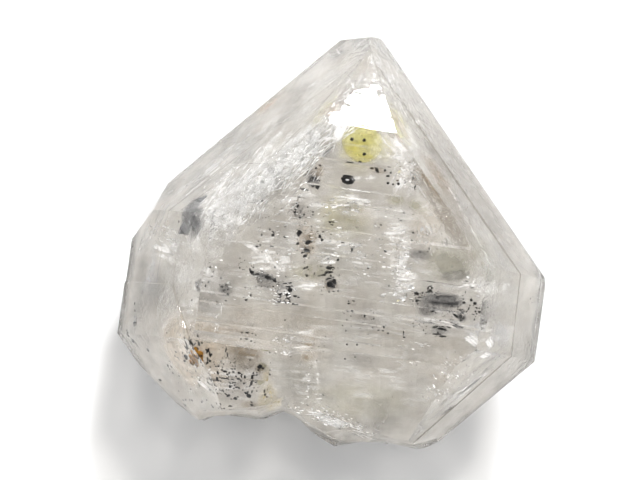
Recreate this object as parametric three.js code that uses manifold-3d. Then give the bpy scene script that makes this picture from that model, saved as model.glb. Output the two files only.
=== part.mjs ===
// Oil inclusion quartz: a doubly terminated rock crystal with petroleum sealed inside.
// Millimetres, +Z up. The c axis of the quartz runs along +Y with the sharp tip at +Y, and the
// crystal lies on one of its prism faces. The origin is the middle of the footprint on the table.
import * as THREE from 'three';
import { ConvexGeometry } from 'three/addons/geometries/ConvexGeometry.js';
import { mergeVertices } from 'three/addons/utils/BufferGeometryUtils.js';
import Module from 'manifold-3d';

const wasm = await Module();
wasm.setup();

// ---- habit of quartz, degrees between a face's normal and the c axis ----
const PRISM = 90;
const RHOMB = 51.8;
const RHOMB_LOW = 180 - RHOMB;
const BEVEL = 65.5;
const FLANK_LOW = 141.5;
const TRANSITION = 74;

// ---- driving dimensions, mm; face distances run from the middle of the crystal ----
const TOP_FACE = 6.5;
const BASE_FACE = 5.5;
const RIGHT_PRISM = 9.7;
const LEFT_PRISM = 8.92;
const RIGHT_TIP = 7.38;
const LEFT_TIP = 7.22;
const FRONT_TIP = 8.6;
const BACK_TIP = 8.05;
const RIGHT_FOOT = 10.5;
const LEFT_FOOT = 10.8;
const FRONT_FOOT = 8.6;
const BACK_FOOT = 8.2;
const LEFT_BEVEL = 8.78;
const LEFT_FLANK = 11.4;
const RIGHT_SHOULDER = 10.42;
const TIP_HEIGHT = 10.68;
const RIGHT_GIRDLE = 1.05;
const LEFT_GIRDLE = -0.45;
const LEDGE_STEP = 0.08;
const LEDGE_TOP = 3.0;
const LEDGE_BOTTOM = 2.7;
const TIP_BAND_START = 3.2;
const SHOULDER_BAND_END = -3.0;
const BLOCK_WALL = -2.2;
const BLOCK_TOP = 6.15;
const BLOCK_BASE = 5.1;
const BLOCK_FRONT = 9.6;
const BLOCK_BACK = 8.9;
const BLOCK_PROUD = 0.05;
const BLOCK_TIP = 1.0;
const PLATE_DEPTH = 0.6;
const PIT_RADIUS = 0.85;
const PARTING_HEIGHT = 8.1;
const POCKET_GAP = 0.3;
const WORLD = 40;

// ---- small helpers ----

// A face as a plane: azimuth is measured round the c axis from straight up towards +X.
function face(azimuth, lean, distance) {
  const a = THREE.MathUtils.degToRad(azimuth);
  const l = THREE.MathUtils.degToRad(lean);
  const normal = new THREE.Vector3(Math.sin(a) * Math.sin(l), Math.cos(l), Math.cos(a) * Math.sin(l));
  return new THREE.Plane(normal, -distance);
}

// Two faces that lean away from each other and meet along the girdle at the height given.
function facePair(azimuth, lean, distance, girdle) {
  const rise = Math.cos(THREE.MathUtils.degToRad(azimuth)) * Math.sin(THREE.MathUtils.degToRad(lean));
  return [
    face(azimuth, lean, distance + girdle * rise),
    face(180 - azimuth, lean, distance - girdle * rise),
  ];
}

// A plane given by its outward direction and a point on it.
function planeThrough(direction, point) {
  const normal = new THREE.Vector3(...direction).normalize();
  return new THREE.Plane().setFromNormalAndCoplanarPoint(normal, new THREE.Vector3(...point));
}

// The point where three planes meet, or null where they have no single common point.
function meetingPoint(a, b, c) {
  const bc = b.normal.clone().cross(c.normal);
  const det = a.normal.dot(bc);
  if (Math.abs(det) < 1e-6) {
    return null;
  }
  const ca = c.normal.clone().cross(a.normal);
  const ab = a.normal.clone().cross(b.normal);
  const p = bc.multiplyScalar(-a.constant);
  p.addScaledVector(ca, -b.constant);
  p.addScaledVector(ab, -c.constant);
  return p.divideScalar(det);
}

// The convex body that lies behind every plane of a list.
function convexBody(planes) {
  const corners = [];
  for (let i = 0; i < planes.length; i += 1) {
    for (let j = i + 1; j < planes.length; j += 1) {
      for (let k = j + 1; k < planes.length; k += 1) {
        const p = meetingPoint(planes[i], planes[j], planes[k]);
        if (!p || planes.some((plane) => plane.distanceToPoint(p) > 1e-6)) {
          continue;
        }
        if (corners.every((q) => q.distanceTo(p) > 1e-4)) {
          corners.push(p);
        }
      }
    }
  }
  return new ConvexGeometry(corners);
}

// A three.js geometry as a solid for joining and cutting.
function solid(geometry) {
  const bare = geometry.clone();
  bare.deleteAttribute('normal');
  bare.deleteAttribute('uv');
  const merged = mergeVertices(bare, 1e-5);
  const mesh = new wasm.Mesh({
    numProp: 3,
    vertProperties: new Float32Array(merged.attributes.position.array),
    triVerts: new Uint32Array(merged.index.array),
  });
  return new wasm.Manifold(mesh);
}

// A solid back as a flat shaded geometry.
function geometryOf(body) {
  const mesh = body.getMesh();
  const geometry = new THREE.BufferGeometry();
  geometry.setAttribute('position', new THREE.BufferAttribute(new Float32Array(mesh.vertProperties), 3));
  geometry.setIndex(new THREE.BufferAttribute(new Uint32Array(mesh.triVerts), 1));
  geometry.computeVertexNormals();
  return geometry;
}

// ---- the crystal's faces ----

// The whole form, its sides drawn in by `inset`; the two ends of the list close it above and below.
function crystalFaces(inset, upper, lower) {
  return [
    ...facePair(60, PRISM, RIGHT_PRISM - inset, RIGHT_GIRDLE),
    ...facePair(300, PRISM, LEFT_PRISM - inset, LEFT_GIRDLE),
    ...facePair(60, RHOMB, RIGHT_TIP - inset, RIGHT_GIRDLE),
    ...facePair(300, RHOMB, LEFT_TIP - inset, LEFT_GIRDLE),
    ...facePair(60, RHOMB_LOW, RIGHT_FOOT - inset, RIGHT_GIRDLE),
    ...facePair(300, RHOMB_LOW, LEFT_FOOT - inset, LEFT_GIRDLE),
    ...facePair(278, BEVEL, LEFT_BEVEL - inset, LEFT_GIRDLE),
    ...facePair(282, FLANK_LOW, LEFT_FLANK - inset, LEFT_GIRDLE),
    face(0, RHOMB, FRONT_TIP),
    face(180, RHOMB, BACK_TIP),
    face(0, RHOMB_LOW, FRONT_FOOT),
    face(180, RHOMB_LOW, BACK_FOOT),
    face(96, TRANSITION, RIGHT_SHOULDER - inset),
    planeThrough([-0.14, 0.99, 0.02], [0.1, TIP_HEIGHT, 0]),
    planeThrough([0.3, 0.955, -0.05], [1, TIP_HEIGHT, 0]),
    upper,
    lower,
  ];
}

const topFace = face(0, PRISM, TOP_FACE);
const baseFace = face(180, PRISM, BASE_FACE);
const heart = solid(convexBody(crystalFaces(LEDGE_STEP, topFace, baseFace)));

// The girdle stands proud of the faces above and below it and ends in two long growth ledges.
const upperLedge = planeThrough([-0.05, -0.05, 1], [0, 0, LEDGE_TOP]);
const lowerLedge = planeThrough([0.04, -0.06, -1], [0, 0, -LEDGE_BOTTOM]);
const girdle = solid(convexBody(crystalFaces(0, upperLedge, lowerLedge)));

// A second generation of ledges, half a step high, near the tip and near the left shoulder.
const tipLedge = planeThrough([0.3, 0.25, 1], [0, 6, 4.4]);
const shoulderLedge = planeThrough([-0.35, 0.1, 1], [-5, 0, 4.6]);
const tipBand = solid(convexBody([
  ...crystalFaces(LEDGE_STEP * 0.5, tipLedge, baseFace),
  face(0, 180, -TIP_BAND_START),
]));
const shoulderBand = solid(convexBody([
  ...crystalFaces(LEDGE_STEP * 0.55, shoulderLedge, baseFace),
  face(90, PRISM, SHOULDER_BAND_END),
  face(120, RHOMB_LOW, 3.4),
]));

// A block grown parallel to the main crystal at the lower left: it carries the foot's left lobe.
const sideBlock = solid(convexBody([
  ...facePair(300, PRISM, LEFT_PRISM + BLOCK_PROUD, LEFT_GIRDLE),
  ...facePair(300, RHOMB_LOW, LEFT_FOOT + BLOCK_PROUD, LEFT_GIRDLE),
  ...facePair(282, FLANK_LOW, LEFT_FLANK + BLOCK_PROUD, LEFT_GIRDLE),
  ...facePair(300, RHOMB, 4.9, LEFT_GIRDLE),
  face(0, PRISM, BLOCK_TOP),
  face(180, PRISM, BLOCK_BASE),
  face(90, PRISM, BLOCK_WALL),
  face(0, RHOMB_LOW, BLOCK_FRONT),
  face(180, RHOMB_LOW, BLOCK_BACK),
  face(0, RHOMB, BLOCK_TIP),
]));

// Low growth plates on the striated top face: height, then the span along x and along y.
const PLATES = [
  [0.05, -9, 9, -3.6, 3.8],
  [0.09, -9, 3.4, -0.9, 2.45],
  [0.07, 0.8, 9, -2.9, -1.6],
  [0.12, -3.2, 9, 0.4, 1.7],
  [0.04, -9, 2.6, -5.1, -4.2],
];

// The space that a plate may fill: the crystal's own sides, carried a little higher.
const plateSpace = solid(convexBody(crystalFaces(LEDGE_STEP * 1.2, face(0, PRISM, TOP_FACE + 1), baseFace)));

function growthPlate([height, left, right, near, far]) {
  const level = TOP_FACE + height;
  const slab = solid(convexBody([
    planeThrough([0, 0, 1], [0, 0, level]),
    planeThrough([0, 0, -1], [0, 0, TOP_FACE - PLATE_DEPTH]),
    planeThrough([0, 0.45, 0.89], [0, far, level]),
    planeThrough([0, -0.45, 0.89], [0, near, level]),
    planeThrough([0.87, 0.1, 0.5], [right, 0, level]),
    planeThrough([-0.87, 0.1, 0.5], [left, 0, level]),
  ]));
  return slab.intersect(plateSpace);
}

let crystal = heart.add(girdle).add(tipBand).add(shoulderBand).add(sideBlock);
for (const plate of PLATES) {
  crystal = crystal.add(growthPlate(plate));
}

// ---- the broken foot ----

// Where the crystal broke from its bed: x and y of the ragged outline, left to right.
const BREAK = [
  [-13, -9.0],
  [-6.3, -9.55],
  [-5.5, -9.85],
  [-4.9, -9.62],
  [-2.4, -9.3],
  [-1.2, -8.75],
  [-0.1, -9.3],
  [0.5, -9.65],
  [1.8, -10.12],
  [3.6, -9.75],
  [4.5, -9.82],
  [6.2, -9.72],
  [7.1, -9.5],
  [13, -9.0],
];

// The rock that fell away: the outline drawn through the crystal and warped along the way.
function brokenRock() {
  const outline = new THREE.Shape();
  outline.moveTo(-13, -20);
  outline.lineTo(13, -20);
  for (const [x, y] of [...BREAK].reverse()) {
    outline.lineTo(x, y);
  }
  outline.closePath();
  const geometry = new THREE.ExtrudeGeometry(outline, { depth: 18, steps: 12, bevelEnabled: false });
  geometry.translate(0, 0, -9);
  const p = geometry.attributes.position;
  for (let i = 0; i < p.count; i += 1) {
    const x = p.getX(i);
    const z = p.getZ(i);
    const away = 0.1 * z * z / 9 + 0.16 * Math.sin(1.9 * z + 0.7 * x) + 0.12 * Math.sin(0.8 * x - 2.3 * z);
    p.setY(i, p.getY(i) + away);
    p.setX(i, x + 0.22 * Math.sin(1.4 * z + 0.4 * x));
  }
  return solid(geometry);
}

crystal = crystal.subtract(brokenRock());

// Shell shaped chips: centre and radius of the ball that leaves each of them.
const CHIPS = [
  [2.2, -11.9, 2.6, 2.5],
  [5.6, -11.2, -1.6, 2.1],
  [-4.2, -11.6, 0.6, 2.2],
  [-1.3, -10.4, 3.4, 1.6],
  [10.9, -7.1, -1.2, 1.5],
  [-10.9, -6.9, 1.2, 1.05],
  [3.3, 11.2, 1.9, 1.25],
];

for (const [x, y, z, radius] of CHIPS) {
  const ball = new THREE.SphereGeometry(radius, 28, 18);
  ball.rotateX(0.4);
  ball.translate(x, y, z);
  crystal = crystal.subtract(solid(ball));
}

// Shallow etched pits, each the corner of a small rhomb: its deepest point and its turn, radians.
const PITS = [
  [-3.4, 3.6, 6.34, 0.2],
  [5.2, -3.9, 6.32, 1.1],
  [-1.2, -4.6, 6.36, 2.0],
  [4.4, -6.9, 4.62, 0.5],
  [1.4, -7.6, 3.86, 1.3],
];

for (const [x, y, z, turn] of PITS) {
  const pit = new THREE.OctahedronGeometry(PIT_RADIUS);
  pit.scale(1.25, 0.6, 1);
  pit.rotateZ(turn);
  pit.translate(x, y, z + PIT_RADIUS);
  crystal = crystal.subtract(solid(pit));
}

// ---- set on the table ----
crystal = crystal.translate([0, 0, BASE_FACE]);
const box = new THREE.Box3().setFromBufferAttribute(geometryOf(crystal).attributes.position);
const middle = box.getCenter(new THREE.Vector3());
crystal = crystal.translate([-middle.x, -middle.y, -box.min.z]);

// ---- what is sealed inside ----

// A closed rounded body with soft lobes; `grow` widens it all round, for its pocket.
function roundedBody(size, lobes, grow, detail) {
  const geometry = new THREE.SphereGeometry(1, detail, Math.round(detail * 0.6));
  const p = geometry.attributes.position;
  const v = new THREE.Vector3();
  for (let i = 0; i < p.count; i += 1) {
    v.fromBufferAttribute(p, i);
    const turn = Math.atan2(v.y, v.x);
    const rim = 1 - v.z * v.z;
    const wave = 1 + lobes * rim * (Math.cos(2 * turn + 0.6) + 0.6 * Math.sin(3 * turn));
    v.multiplyScalar(wave);
    p.setXYZ(i, v.x * (size[0] + grow), v.y * (size[1] + grow), v.z * (size[2] + grow));
  }
  return geometry;
}

// A thin bent flake with a skewed four sided outline.
function flakeBody(size, lean, grow) {
  const geometry = new THREE.BoxGeometry(1, 1, 1, 4, 4, 1);
  const p = geometry.attributes.position;
  for (let i = 0; i < p.count; i += 1) {
    const x = p.getX(i) * 2 * (size[0] + grow);
    const y = p.getY(i) * 2 * (size[1] + grow);
    const z = p.getZ(i) * 2 * (size[2] + grow);
    p.setXYZ(i, x + lean * y, y, z + 0.05 * x * y);
  }
  return geometry;
}

// Half sizes in mm; x and y are taken from the middle of the crystal's girdle.
const INCLUSIONS = [
  { name: 'oil_drop', x: 0.85, y: 5.05, make: (g) => roundedBody([1.05, 0.99, 0.62], 0.035, g, 30) },
  { name: 'bitumen_bead', x: 0.38, y: 3.11, make: (g) => roundedBody([0.36, 0.25, 0.22], 0.02, g, 16) },
  { name: 'bitumen_flake', x: -6.55, y: -0.05, make: (g) => flakeBody([0.45, 0.74, 0.14], 0.3, g) },
  { name: 'resin_grain', x: -6.1, y: -6.65, make: (g) => roundedBody([0.3, 0.36, 0.26], 0.06, g, 16) },
];

const inside = {};
for (const { name, x, y, make } of INCLUSIONS) {
  const place = [x - middle.x, y - middle.y, PARTING_HEIGHT];
  crystal = crystal.subtract(solid(make(POCKET_GAP)).translate(place));
  inside[name] = solid(make(0)).translate(place);
}

// ---- part the crystal in two through the pockets ----
const above = new THREE.BoxGeometry(WORLD, WORLD, WORLD);
above.translate(0, 0, PARTING_HEIGHT + WORLD / 2);
const crystalUpper = crystal.intersect(solid(above));
const crystalLower = crystal.subtract(solid(above));

// ---- finished group ----
const quartz = new THREE.MeshStandardMaterial({
  color: 0xe4e0da,
  roughness: 0.05,
  metalness: 0,
  transparent: true,
  opacity: 0.35,
  flatShading: true,
});
const petroleum = new THREE.MeshStandardMaterial({ color: 0xc9c02a, roughness: 0.08, metalness: 0 });
const bitumen = new THREE.MeshStandardMaterial({ color: 0x15120f, roughness: 0.25, metalness: 0 });
const bitumenFilm = new THREE.MeshStandardMaterial({ color: 0x3a3836, roughness: 0.35, metalness: 0 });
const resin = new THREE.MeshStandardMaterial({ color: 0x5a3208, roughness: 0.3, metalness: 0 });

function named(name, body, material) {
  const mesh = new THREE.Mesh(geometryOf(body), material);
  mesh.name = name;
  return mesh;
}

const part = new THREE.Group();
part.name = 'oil_inclusion_quartz';
part.add(named('crystal_upper', crystalUpper, quartz));
part.add(named('crystal_lower', crystalLower, quartz));
part.add(named('oil_drop', inside.oil_drop, petroleum));
part.add(named('bitumen_bead', inside.bitumen_bead, bitumen));
part.add(named('bitumen_flake', inside.bitumen_flake, bitumenFilm));
part.add(named('resin_grain', inside.resin_grain, resin));

export default part;
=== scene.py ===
# %% [markdown]
# # Oil inclusion quartz
# One clear quartz crystal, about 22 mm across, lies on a prism face with its sharp tip pointing away.
# Sealed inside are a drop of yellow petroleum, beads and flakes of black bitumen, healed cracks and stains.
# The solid model gives the places and sizes; this lesson builds the clear stone and all that shows in it.

# %% Load the solid model
import math
import random

import bmesh
import bpy
from mathutils import Euler, Matrix, Vector
from mathutils.bvhtree import BVHTree


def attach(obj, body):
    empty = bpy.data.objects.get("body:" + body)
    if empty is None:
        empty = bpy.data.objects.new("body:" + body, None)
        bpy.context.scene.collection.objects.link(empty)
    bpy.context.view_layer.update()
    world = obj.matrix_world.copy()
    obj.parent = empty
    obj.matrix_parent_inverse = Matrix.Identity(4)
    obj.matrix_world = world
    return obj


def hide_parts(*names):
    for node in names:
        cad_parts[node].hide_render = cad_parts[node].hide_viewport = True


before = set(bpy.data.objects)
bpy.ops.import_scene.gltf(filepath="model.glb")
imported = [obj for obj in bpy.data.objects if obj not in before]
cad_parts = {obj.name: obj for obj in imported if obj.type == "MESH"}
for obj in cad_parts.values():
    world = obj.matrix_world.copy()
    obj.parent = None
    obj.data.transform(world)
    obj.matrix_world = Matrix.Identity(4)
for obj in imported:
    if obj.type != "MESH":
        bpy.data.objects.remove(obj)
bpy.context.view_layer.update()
MM = 0.001

# %% [markdown]
# Quartz always keeps the same angles between its faces, so the crystal is described the way a
# mineralogist does it: each face has a turn round the c axis, a lean from that axis and a distance from the
# middle. The numbers repeat the solid model's, in millimetres. Only the ledges are lower here, 0.045 instead
# of 0.08 mm, because in glass even a small step draws a strong dark line.

# %% The habit of the crystal
# degrees between a face's outward direction and the c axis
PRISM = 90.0
RHOMB = 51.8
RHOMB_LOW = 180.0 - RHOMB
BEVEL = 65.5
FLANK_LOW = 141.5
TRANSITION = 74.0

# distances of the faces from the middle of the crystal
TOP_FACE = 6.5
BASE_FACE = 5.5
RIGHT_PRISM = 9.7
LEFT_PRISM = 8.92
RIGHT_TIP = 7.38
LEFT_TIP = 7.22
FRONT_TIP = 8.6
BACK_TIP = 8.05
RIGHT_FOOT = 10.5
LEFT_FOOT = 10.8
FRONT_FOOT = 8.6
BACK_FOOT = 8.2
LEFT_BEVEL = 8.78
LEFT_FLANK = 11.4
RIGHT_SHOULDER = 10.42
TIP_HEIGHT = 10.68

# heights of the girdle, where the upper and the lower faces meet, and the step of its ledges
RIGHT_GIRDLE = 1.05
LEFT_GIRDLE = -0.45
LEDGE_STEP = 0.045
LEDGE_TOP = 3.0
LEDGE_BOTTOM = 2.7


def face(turn, lean, distance):
    """A face as (outward direction, distance from the middle), in the crystal's own axes."""
    a, l = math.radians(turn), math.radians(lean)
    return Vector((math.sin(a) * math.sin(l), math.cos(l), math.cos(a) * math.sin(l))), distance


def face_pair(turn, lean, distance, girdle):
    """Two faces that lean away from each other and meet along the girdle at that height."""
    rise = girdle * math.cos(math.radians(turn)) * math.sin(math.radians(lean))
    return [face(turn, lean, distance + rise), face(180 - turn, lean, distance - rise)]


def through(direction, point):
    """A face given by its outward direction and one point on it."""
    normal = Vector(direction).normalized()
    return normal, normal.dot(Vector(point))


def crystal_faces(inset, upper, lower):
    """Every face of the whole form, its sides drawn in by inset and closed by the two faces given."""
    return [
        *face_pair(60, PRISM, RIGHT_PRISM - inset, RIGHT_GIRDLE),
        *face_pair(300, PRISM, LEFT_PRISM - inset, LEFT_GIRDLE),
        *face_pair(60, RHOMB, RIGHT_TIP - inset, RIGHT_GIRDLE),
        *face_pair(300, RHOMB, LEFT_TIP - inset, LEFT_GIRDLE),
        *face_pair(60, RHOMB_LOW, RIGHT_FOOT - inset, RIGHT_GIRDLE),
        *face_pair(300, RHOMB_LOW, LEFT_FOOT - inset, LEFT_GIRDLE),
        *face_pair(278, BEVEL, LEFT_BEVEL - inset, LEFT_GIRDLE),
        *face_pair(282, FLANK_LOW, LEFT_FLANK - inset, LEFT_GIRDLE),
        face(0, RHOMB, FRONT_TIP),
        face(180, RHOMB, BACK_TIP),
        face(0, RHOMB_LOW, FRONT_FOOT),
        face(180, RHOMB_LOW, BACK_FOOT),
        face(96, TRANSITION, RIGHT_SHOULDER - inset),
        through((-0.14, 0.99, 0.02), (0.1, TIP_HEIGHT, 0)),
        through((0.3, 0.955, -0.05), (1, TIP_HEIGHT, 0)),
        upper,
        lower,
    ]


whole = crystal_faces(0, face(0, PRISM, TOP_FACE), face(180, PRISM, BASE_FACE))
print("faces of the whole form:", len(whole))


# %% [markdown]
# A convex crystal is what is left of a block after each face has been sliced off it. bmesh's bisect does one
# slice and throws away what lies outside, and the cut edge loop is then filled to make the new face.

# %% Slice a body out of a block
BLOCK = 60.0


def placed(name, bm):
    """Turns a bmesh into an object of the scene, and frees it."""
    mesh = bpy.data.meshes.new(name)
    bm.to_mesh(mesh)
    bm.free()
    body = bpy.data.objects.new(name, mesh)
    bpy.context.scene.collection.objects.link(body)
    return body


def sliced_body(name, faces):
    """A closed convex mesh that lies behind every face, in metres."""
    bm = bmesh.new()
    bmesh.ops.create_cube(bm, size=BLOCK)
    for normal, distance in faces:
        parts = bm.verts[:] + bm.edges[:] + bm.faces[:]
        cut = bmesh.ops.bisect_plane(
            bm, geom=parts, dist=1e-5, plane_co=normal * distance, plane_no=normal, clear_outer=True
        )
        edges = [e for e in cut["geom_cut"] if isinstance(e, bmesh.types.BMEdge)]
        if edges:
            bmesh.ops.holes_fill(bm, edges=edges, sides=0)
    bmesh.ops.remove_doubles(bm, verts=bm.verts[:], dist=1e-4)
    bmesh.ops.recalc_face_normals(bm, faces=bm.faces[:])
    bmesh.ops.scale(bm, vec=(MM, MM, MM), verts=bm.verts[:])
    return placed(name, bm)


def settle(body, modifier):
    """Makes what a modifier does to a body into the body's own plain mesh."""
    bpy.context.view_layer.update()
    view = bpy.context.evaluated_depsgraph_get()
    result = bpy.data.meshes.new_from_object(body.evaluated_get(view))
    body.modifiers.remove(modifier)
    old = body.data
    body.data = result
    bpy.data.meshes.remove(old)
    return result


def combine(body, other, operation):
    """Joins other to body, or cuts it away, and removes other."""
    modifier = body.modifiers.new("combine", "BOOLEAN")
    modifier.solver = "MANIFOLD"
    modifier.operation = operation
    modifier.object = other
    settle(body, modifier)
    bpy.data.objects.remove(other)


# %% [markdown]
# The main form comes first. The belt where its upper and lower faces meet grew a little proud of them, so it
# is a second body, cut from faces that stand one step farther out, and its two rims are the long ledges.

# %% The crystal's main form and its girdle
top_face = face(0, PRISM, TOP_FACE)
base_face = face(180, PRISM, BASE_FACE)
crystal = sliced_body("quartz_crystal", crystal_faces(LEDGE_STEP, top_face, base_face))
upper_ledge = through((-0.05, -0.05, 1), (0, 0, LEDGE_TOP))
lower_ledge = through((0.04, -0.06, -1), (0, 0, -LEDGE_BOTTOM))
combine(crystal, sliced_body("girdle", crystal_faces(0, upper_ledge, lower_ledge)), "UNION")
print("crystal:", len(crystal.data.vertices), "corners")

# %% [markdown]
# Two more generations of growth stand on the main form: half-height ledges near the tip and the left
# shoulder, and a side block that grew parallel to the crystal at the lower left. They are sliced the same way
# and joined on, which leaves the long thin steps that catch the light on a real face.

# %% Ledges and the side block
TIP_BAND_START = 3.2
SHOULDER_BAND_END = -3.0
SHOULDER_BAND_FOOT = 3.4
BLOCK_SHOULDER = 4.9
BLOCK_WALL = -2.2
BLOCK_TOP = 6.15
BLOCK_BASE = 5.1
BLOCK_FRONT = 9.6
BLOCK_BACK = 8.9
BLOCK_PROUD = 0.05
BLOCK_TIP = 1.0

tip_ledge = through((0.3, 0.25, 1), (0, 6, 4.4))
tip_band = sliced_body(
    "tip_band",
    [*crystal_faces(LEDGE_STEP * 0.5, tip_ledge, base_face), face(0, 180, -TIP_BAND_START)],
)
shoulder_ledge = through((-0.35, 0.1, 1), (-5, 0, 4.6))
shoulder_band = sliced_body(
    "shoulder_band",
    [
        *crystal_faces(LEDGE_STEP * 0.55, shoulder_ledge, base_face),
        face(90, PRISM, SHOULDER_BAND_END),
        face(120, RHOMB_LOW, SHOULDER_BAND_FOOT),
    ],
)
side_block = sliced_body(
    "side_block",
    [
        *face_pair(300, PRISM, LEFT_PRISM + BLOCK_PROUD, LEFT_GIRDLE),
        *face_pair(300, RHOMB_LOW, LEFT_FOOT + BLOCK_PROUD, LEFT_GIRDLE),
        *face_pair(282, FLANK_LOW, LEFT_FLANK + BLOCK_PROUD, LEFT_GIRDLE),
        *face_pair(300, RHOMB, BLOCK_SHOULDER, LEFT_GIRDLE),
        face(0, PRISM, BLOCK_TOP),
        face(180, PRISM, BLOCK_BASE),
        face(90, PRISM, BLOCK_WALL),
        face(0, RHOMB_LOW, BLOCK_FRONT),
        face(180, RHOMB_LOW, BLOCK_BACK),
        face(0, RHOMB, BLOCK_TIP),
    ],
)
for growth in (tip_band, shoulder_band, side_block):
    combine(crystal, growth, "UNION")
print("with ledges:", len(crystal.data.vertices), "corners")

# %% [markdown]
# The upper prism face grew in low plates whose long edges run across the c axis: the striations of quartz.

# %% Growth plates on the top face
PLATE_DEPTH = 0.6
PLATES = [
    # height over the face, then the span across and along
    (0.05, -9, 9, -3.6, 3.8),
    (0.09, -9, 3.4, -0.9, 2.45),
    (0.07, 0.8, 9, -2.9, -1.6),
    (0.12, -3.2, 9, 0.4, 1.7),
    (0.04, -9, 2.6, -5.1, -4.2),
]


def growth_plate(height, left, right, near, far):
    """One low plate, kept inside the crystal's own sides."""
    level = TOP_FACE + height
    floor = face(180, PRISM, PLATE_DEPTH - TOP_FACE)
    faces = crystal_faces(LEDGE_STEP * 1.2, face(0, PRISM, level), floor)
    faces += [
        through((0, 0.45, 0.89), (0, far, level)),
        through((0, -0.45, 0.89), (0, near, level)),
        through((0.87, 0.1, 0.5), (right, 0, level)),
        through((-0.87, 0.1, 0.5), (left, 0, level)),
    ]
    return sliced_body("plate", faces)


for plate in PLATES:
    combine(crystal, growth_plate(*plate), "UNION")
print("with growth plates:", len(crystal.data.vertices), "corners")

# %% [markdown]
# The lower end broke from its bed. The rock that fell away is a ragged wall of faces, wavy along its depth,
# and it is cut from the crystal.

# %% The broken foot
BREAK = [
    (-13, -9.0), (-6.3, -9.55), (-5.5, -9.85), (-4.9, -9.62), (-2.4, -9.3), (-1.2, -8.75), (-0.1, -9.3),
    (0.5, -9.65), (1.8, -10.12), (3.6, -9.75), (4.5, -9.82), (6.2, -9.72), (7.1, -9.5), (13, -9.0),
]
BREAK_DEPTH = 9.0
BREAK_ROWS = 24
ROCK_SIDE = 13
ROCK_BACK = -20


def broken_point(x, y, z):
    """A corner of the break's outline, moved by the waves of the broken wall at a height z."""
    aside = 0.22 * math.sin(1.4 * z + 0.4 * x)
    away = 0.1 * z * z / 9 + 0.16 * math.sin(1.9 * z + 0.7 * x) + 0.12 * math.sin(0.8 * x - 2.3 * z)
    return x + aside, y + away


def broken_rock():
    """The rock below the break: a wall of rows of points, closed by a back, two sides, a top and a floor."""
    bm = bmesh.new()
    rows = []
    for r in range(BREAK_ROWS + 1):
        z = -BREAK_DEPTH + 2 * BREAK_DEPTH * r / BREAK_ROWS
        wall = [broken_point(x, y, z) for x, y in BREAK]
        outline = [(-ROCK_SIDE, ROCK_BACK), *wall, (ROCK_SIDE, ROCK_BACK)]
        rows.append([bm.verts.new((x * MM, y * MM, z * MM)) for x, y in outline])
    for low, high in zip(rows, rows[1:]):
        for i in range(len(low)):
            j = (i + 1) % len(low)
            bm.faces.new((low[i], low[j], high[j], high[i]))
    bm.faces.new(rows[0])
    bm.faces.new(rows[-1])
    bmesh.ops.recalc_face_normals(bm, faces=bm.faces[:])
    return placed("broken_rock", bm)


combine(crystal, broken_rock(), "DIFFERENCE")
print("with the broken foot:", len(crystal.data.vertices), "corners")

# %% [markdown]
# Glassy quartz chips in shells where an edge is knocked. The hollow of such a chip is close to a part of a
# ball, so balls are cut from the edges. They are fine enough for the hollows to look smooth in glass.

# %% The chips
CHIPS = [
    # across, along, height and radius of each ball
    (2.2, -11.9, 2.6, 2.5), (5.6, -11.2, -1.6, 2.1), (-4.2, -11.6, 0.6, 2.2), (-1.3, -10.4, 3.4, 1.6),
    (10.9, -7.1, -1.2, 1.5), (-10.9, -6.9, 1.2, 1.05), (3.3, 11.2, 1.9, 1.25),
]
BALL_TURN = 0.4


def ball(x, y, z, radius):
    """A round cutter for one shell-shaped chip."""
    bm = bmesh.new()
    place = Matrix.Translation((x * MM, y * MM, z * MM)) @ Matrix.Rotation(BALL_TURN, 4, "X")
    bmesh.ops.create_uvsphere(bm, u_segments=56, v_segments=36, radius=radius * MM, matrix=place)
    return placed("ball", bm)


for chip in CHIPS:
    combine(crystal, ball(*chip), "DIFFERENCE")
print("with the chips:", len(crystal.data.vertices), "corners")

# %% [markdown]
# The solid model stands with its base on the table and the middle of its outline at the origin, so the same
# shift is applied to the clear piece, and from here on every place is in the model's own frame.

# %% Set the crystal on the table
corners = [v.co for v in crystal.data.vertices]
low = Vector([min(c[i] for c in corners) for i in range(3)])
high = Vector([max(c[i] for c in corners) for i in range(3)])
SHIFT = Vector((-(low.x + high.x) / 2, -(low.y + high.y) / 2, BASE_FACE * MM))
crystal.data.transform(Matrix.Translation(SHIFT))
print("crystal, mm:", [round(v / MM, 2) for v in high - low], "shift", [round(v / MM, 3) for v in SHIFT])

# %% [markdown]
# No real edge is perfectly sharp. Flat faces are first made whole again, because the cuts left them in
# pieces, and then every edge gets a narrow bevel, which catches a line of light and softens the steps. Where
# edges lie close together the bevel leaves doubled corners, and they are welded afterwards, so that the glass
# is one closed skin.

# %% Soften the edges
EDGE_WIDTH = 0.05 * MM
FLAT_ANGLE = math.radians(0.6)
EDGE_ANGLE = math.radians(14)
CUT_WELD = 0.004 * MM
BEVEL_WELD = 0.002 * MM


def weld(mesh, gap, flatten=False):
    """Joins corners that lie closer than the gap, and flat faces if asked, and counts the open edges left."""
    bm = bmesh.new()
    bm.from_mesh(mesh)
    bmesh.ops.remove_doubles(bm, verts=bm.verts[:], dist=gap)
    if flatten:
        bmesh.ops.dissolve_limit(bm, angle_limit=FLAT_ANGLE, verts=bm.verts[:], edges=bm.edges[:])
    open_edges = sum(not e.is_manifold for e in bm.edges)
    bm.to_mesh(mesh)
    bm.free()
    return open_edges


weld(crystal.data, CUT_WELD, flatten=True)
edge = crystal.modifiers.new("edges", "BEVEL")
edge.width = EDGE_WIDTH
edge.segments = 2
edge.limit_method = "ANGLE"
edge.angle_limit = EDGE_ANGLE
settle(crystal, edge)
open_edges = weld(crystal.data, BEVEL_WELD)
print("softened:", len(crystal.data.vertices), "corners,", open_edges, "open edges")

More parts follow.
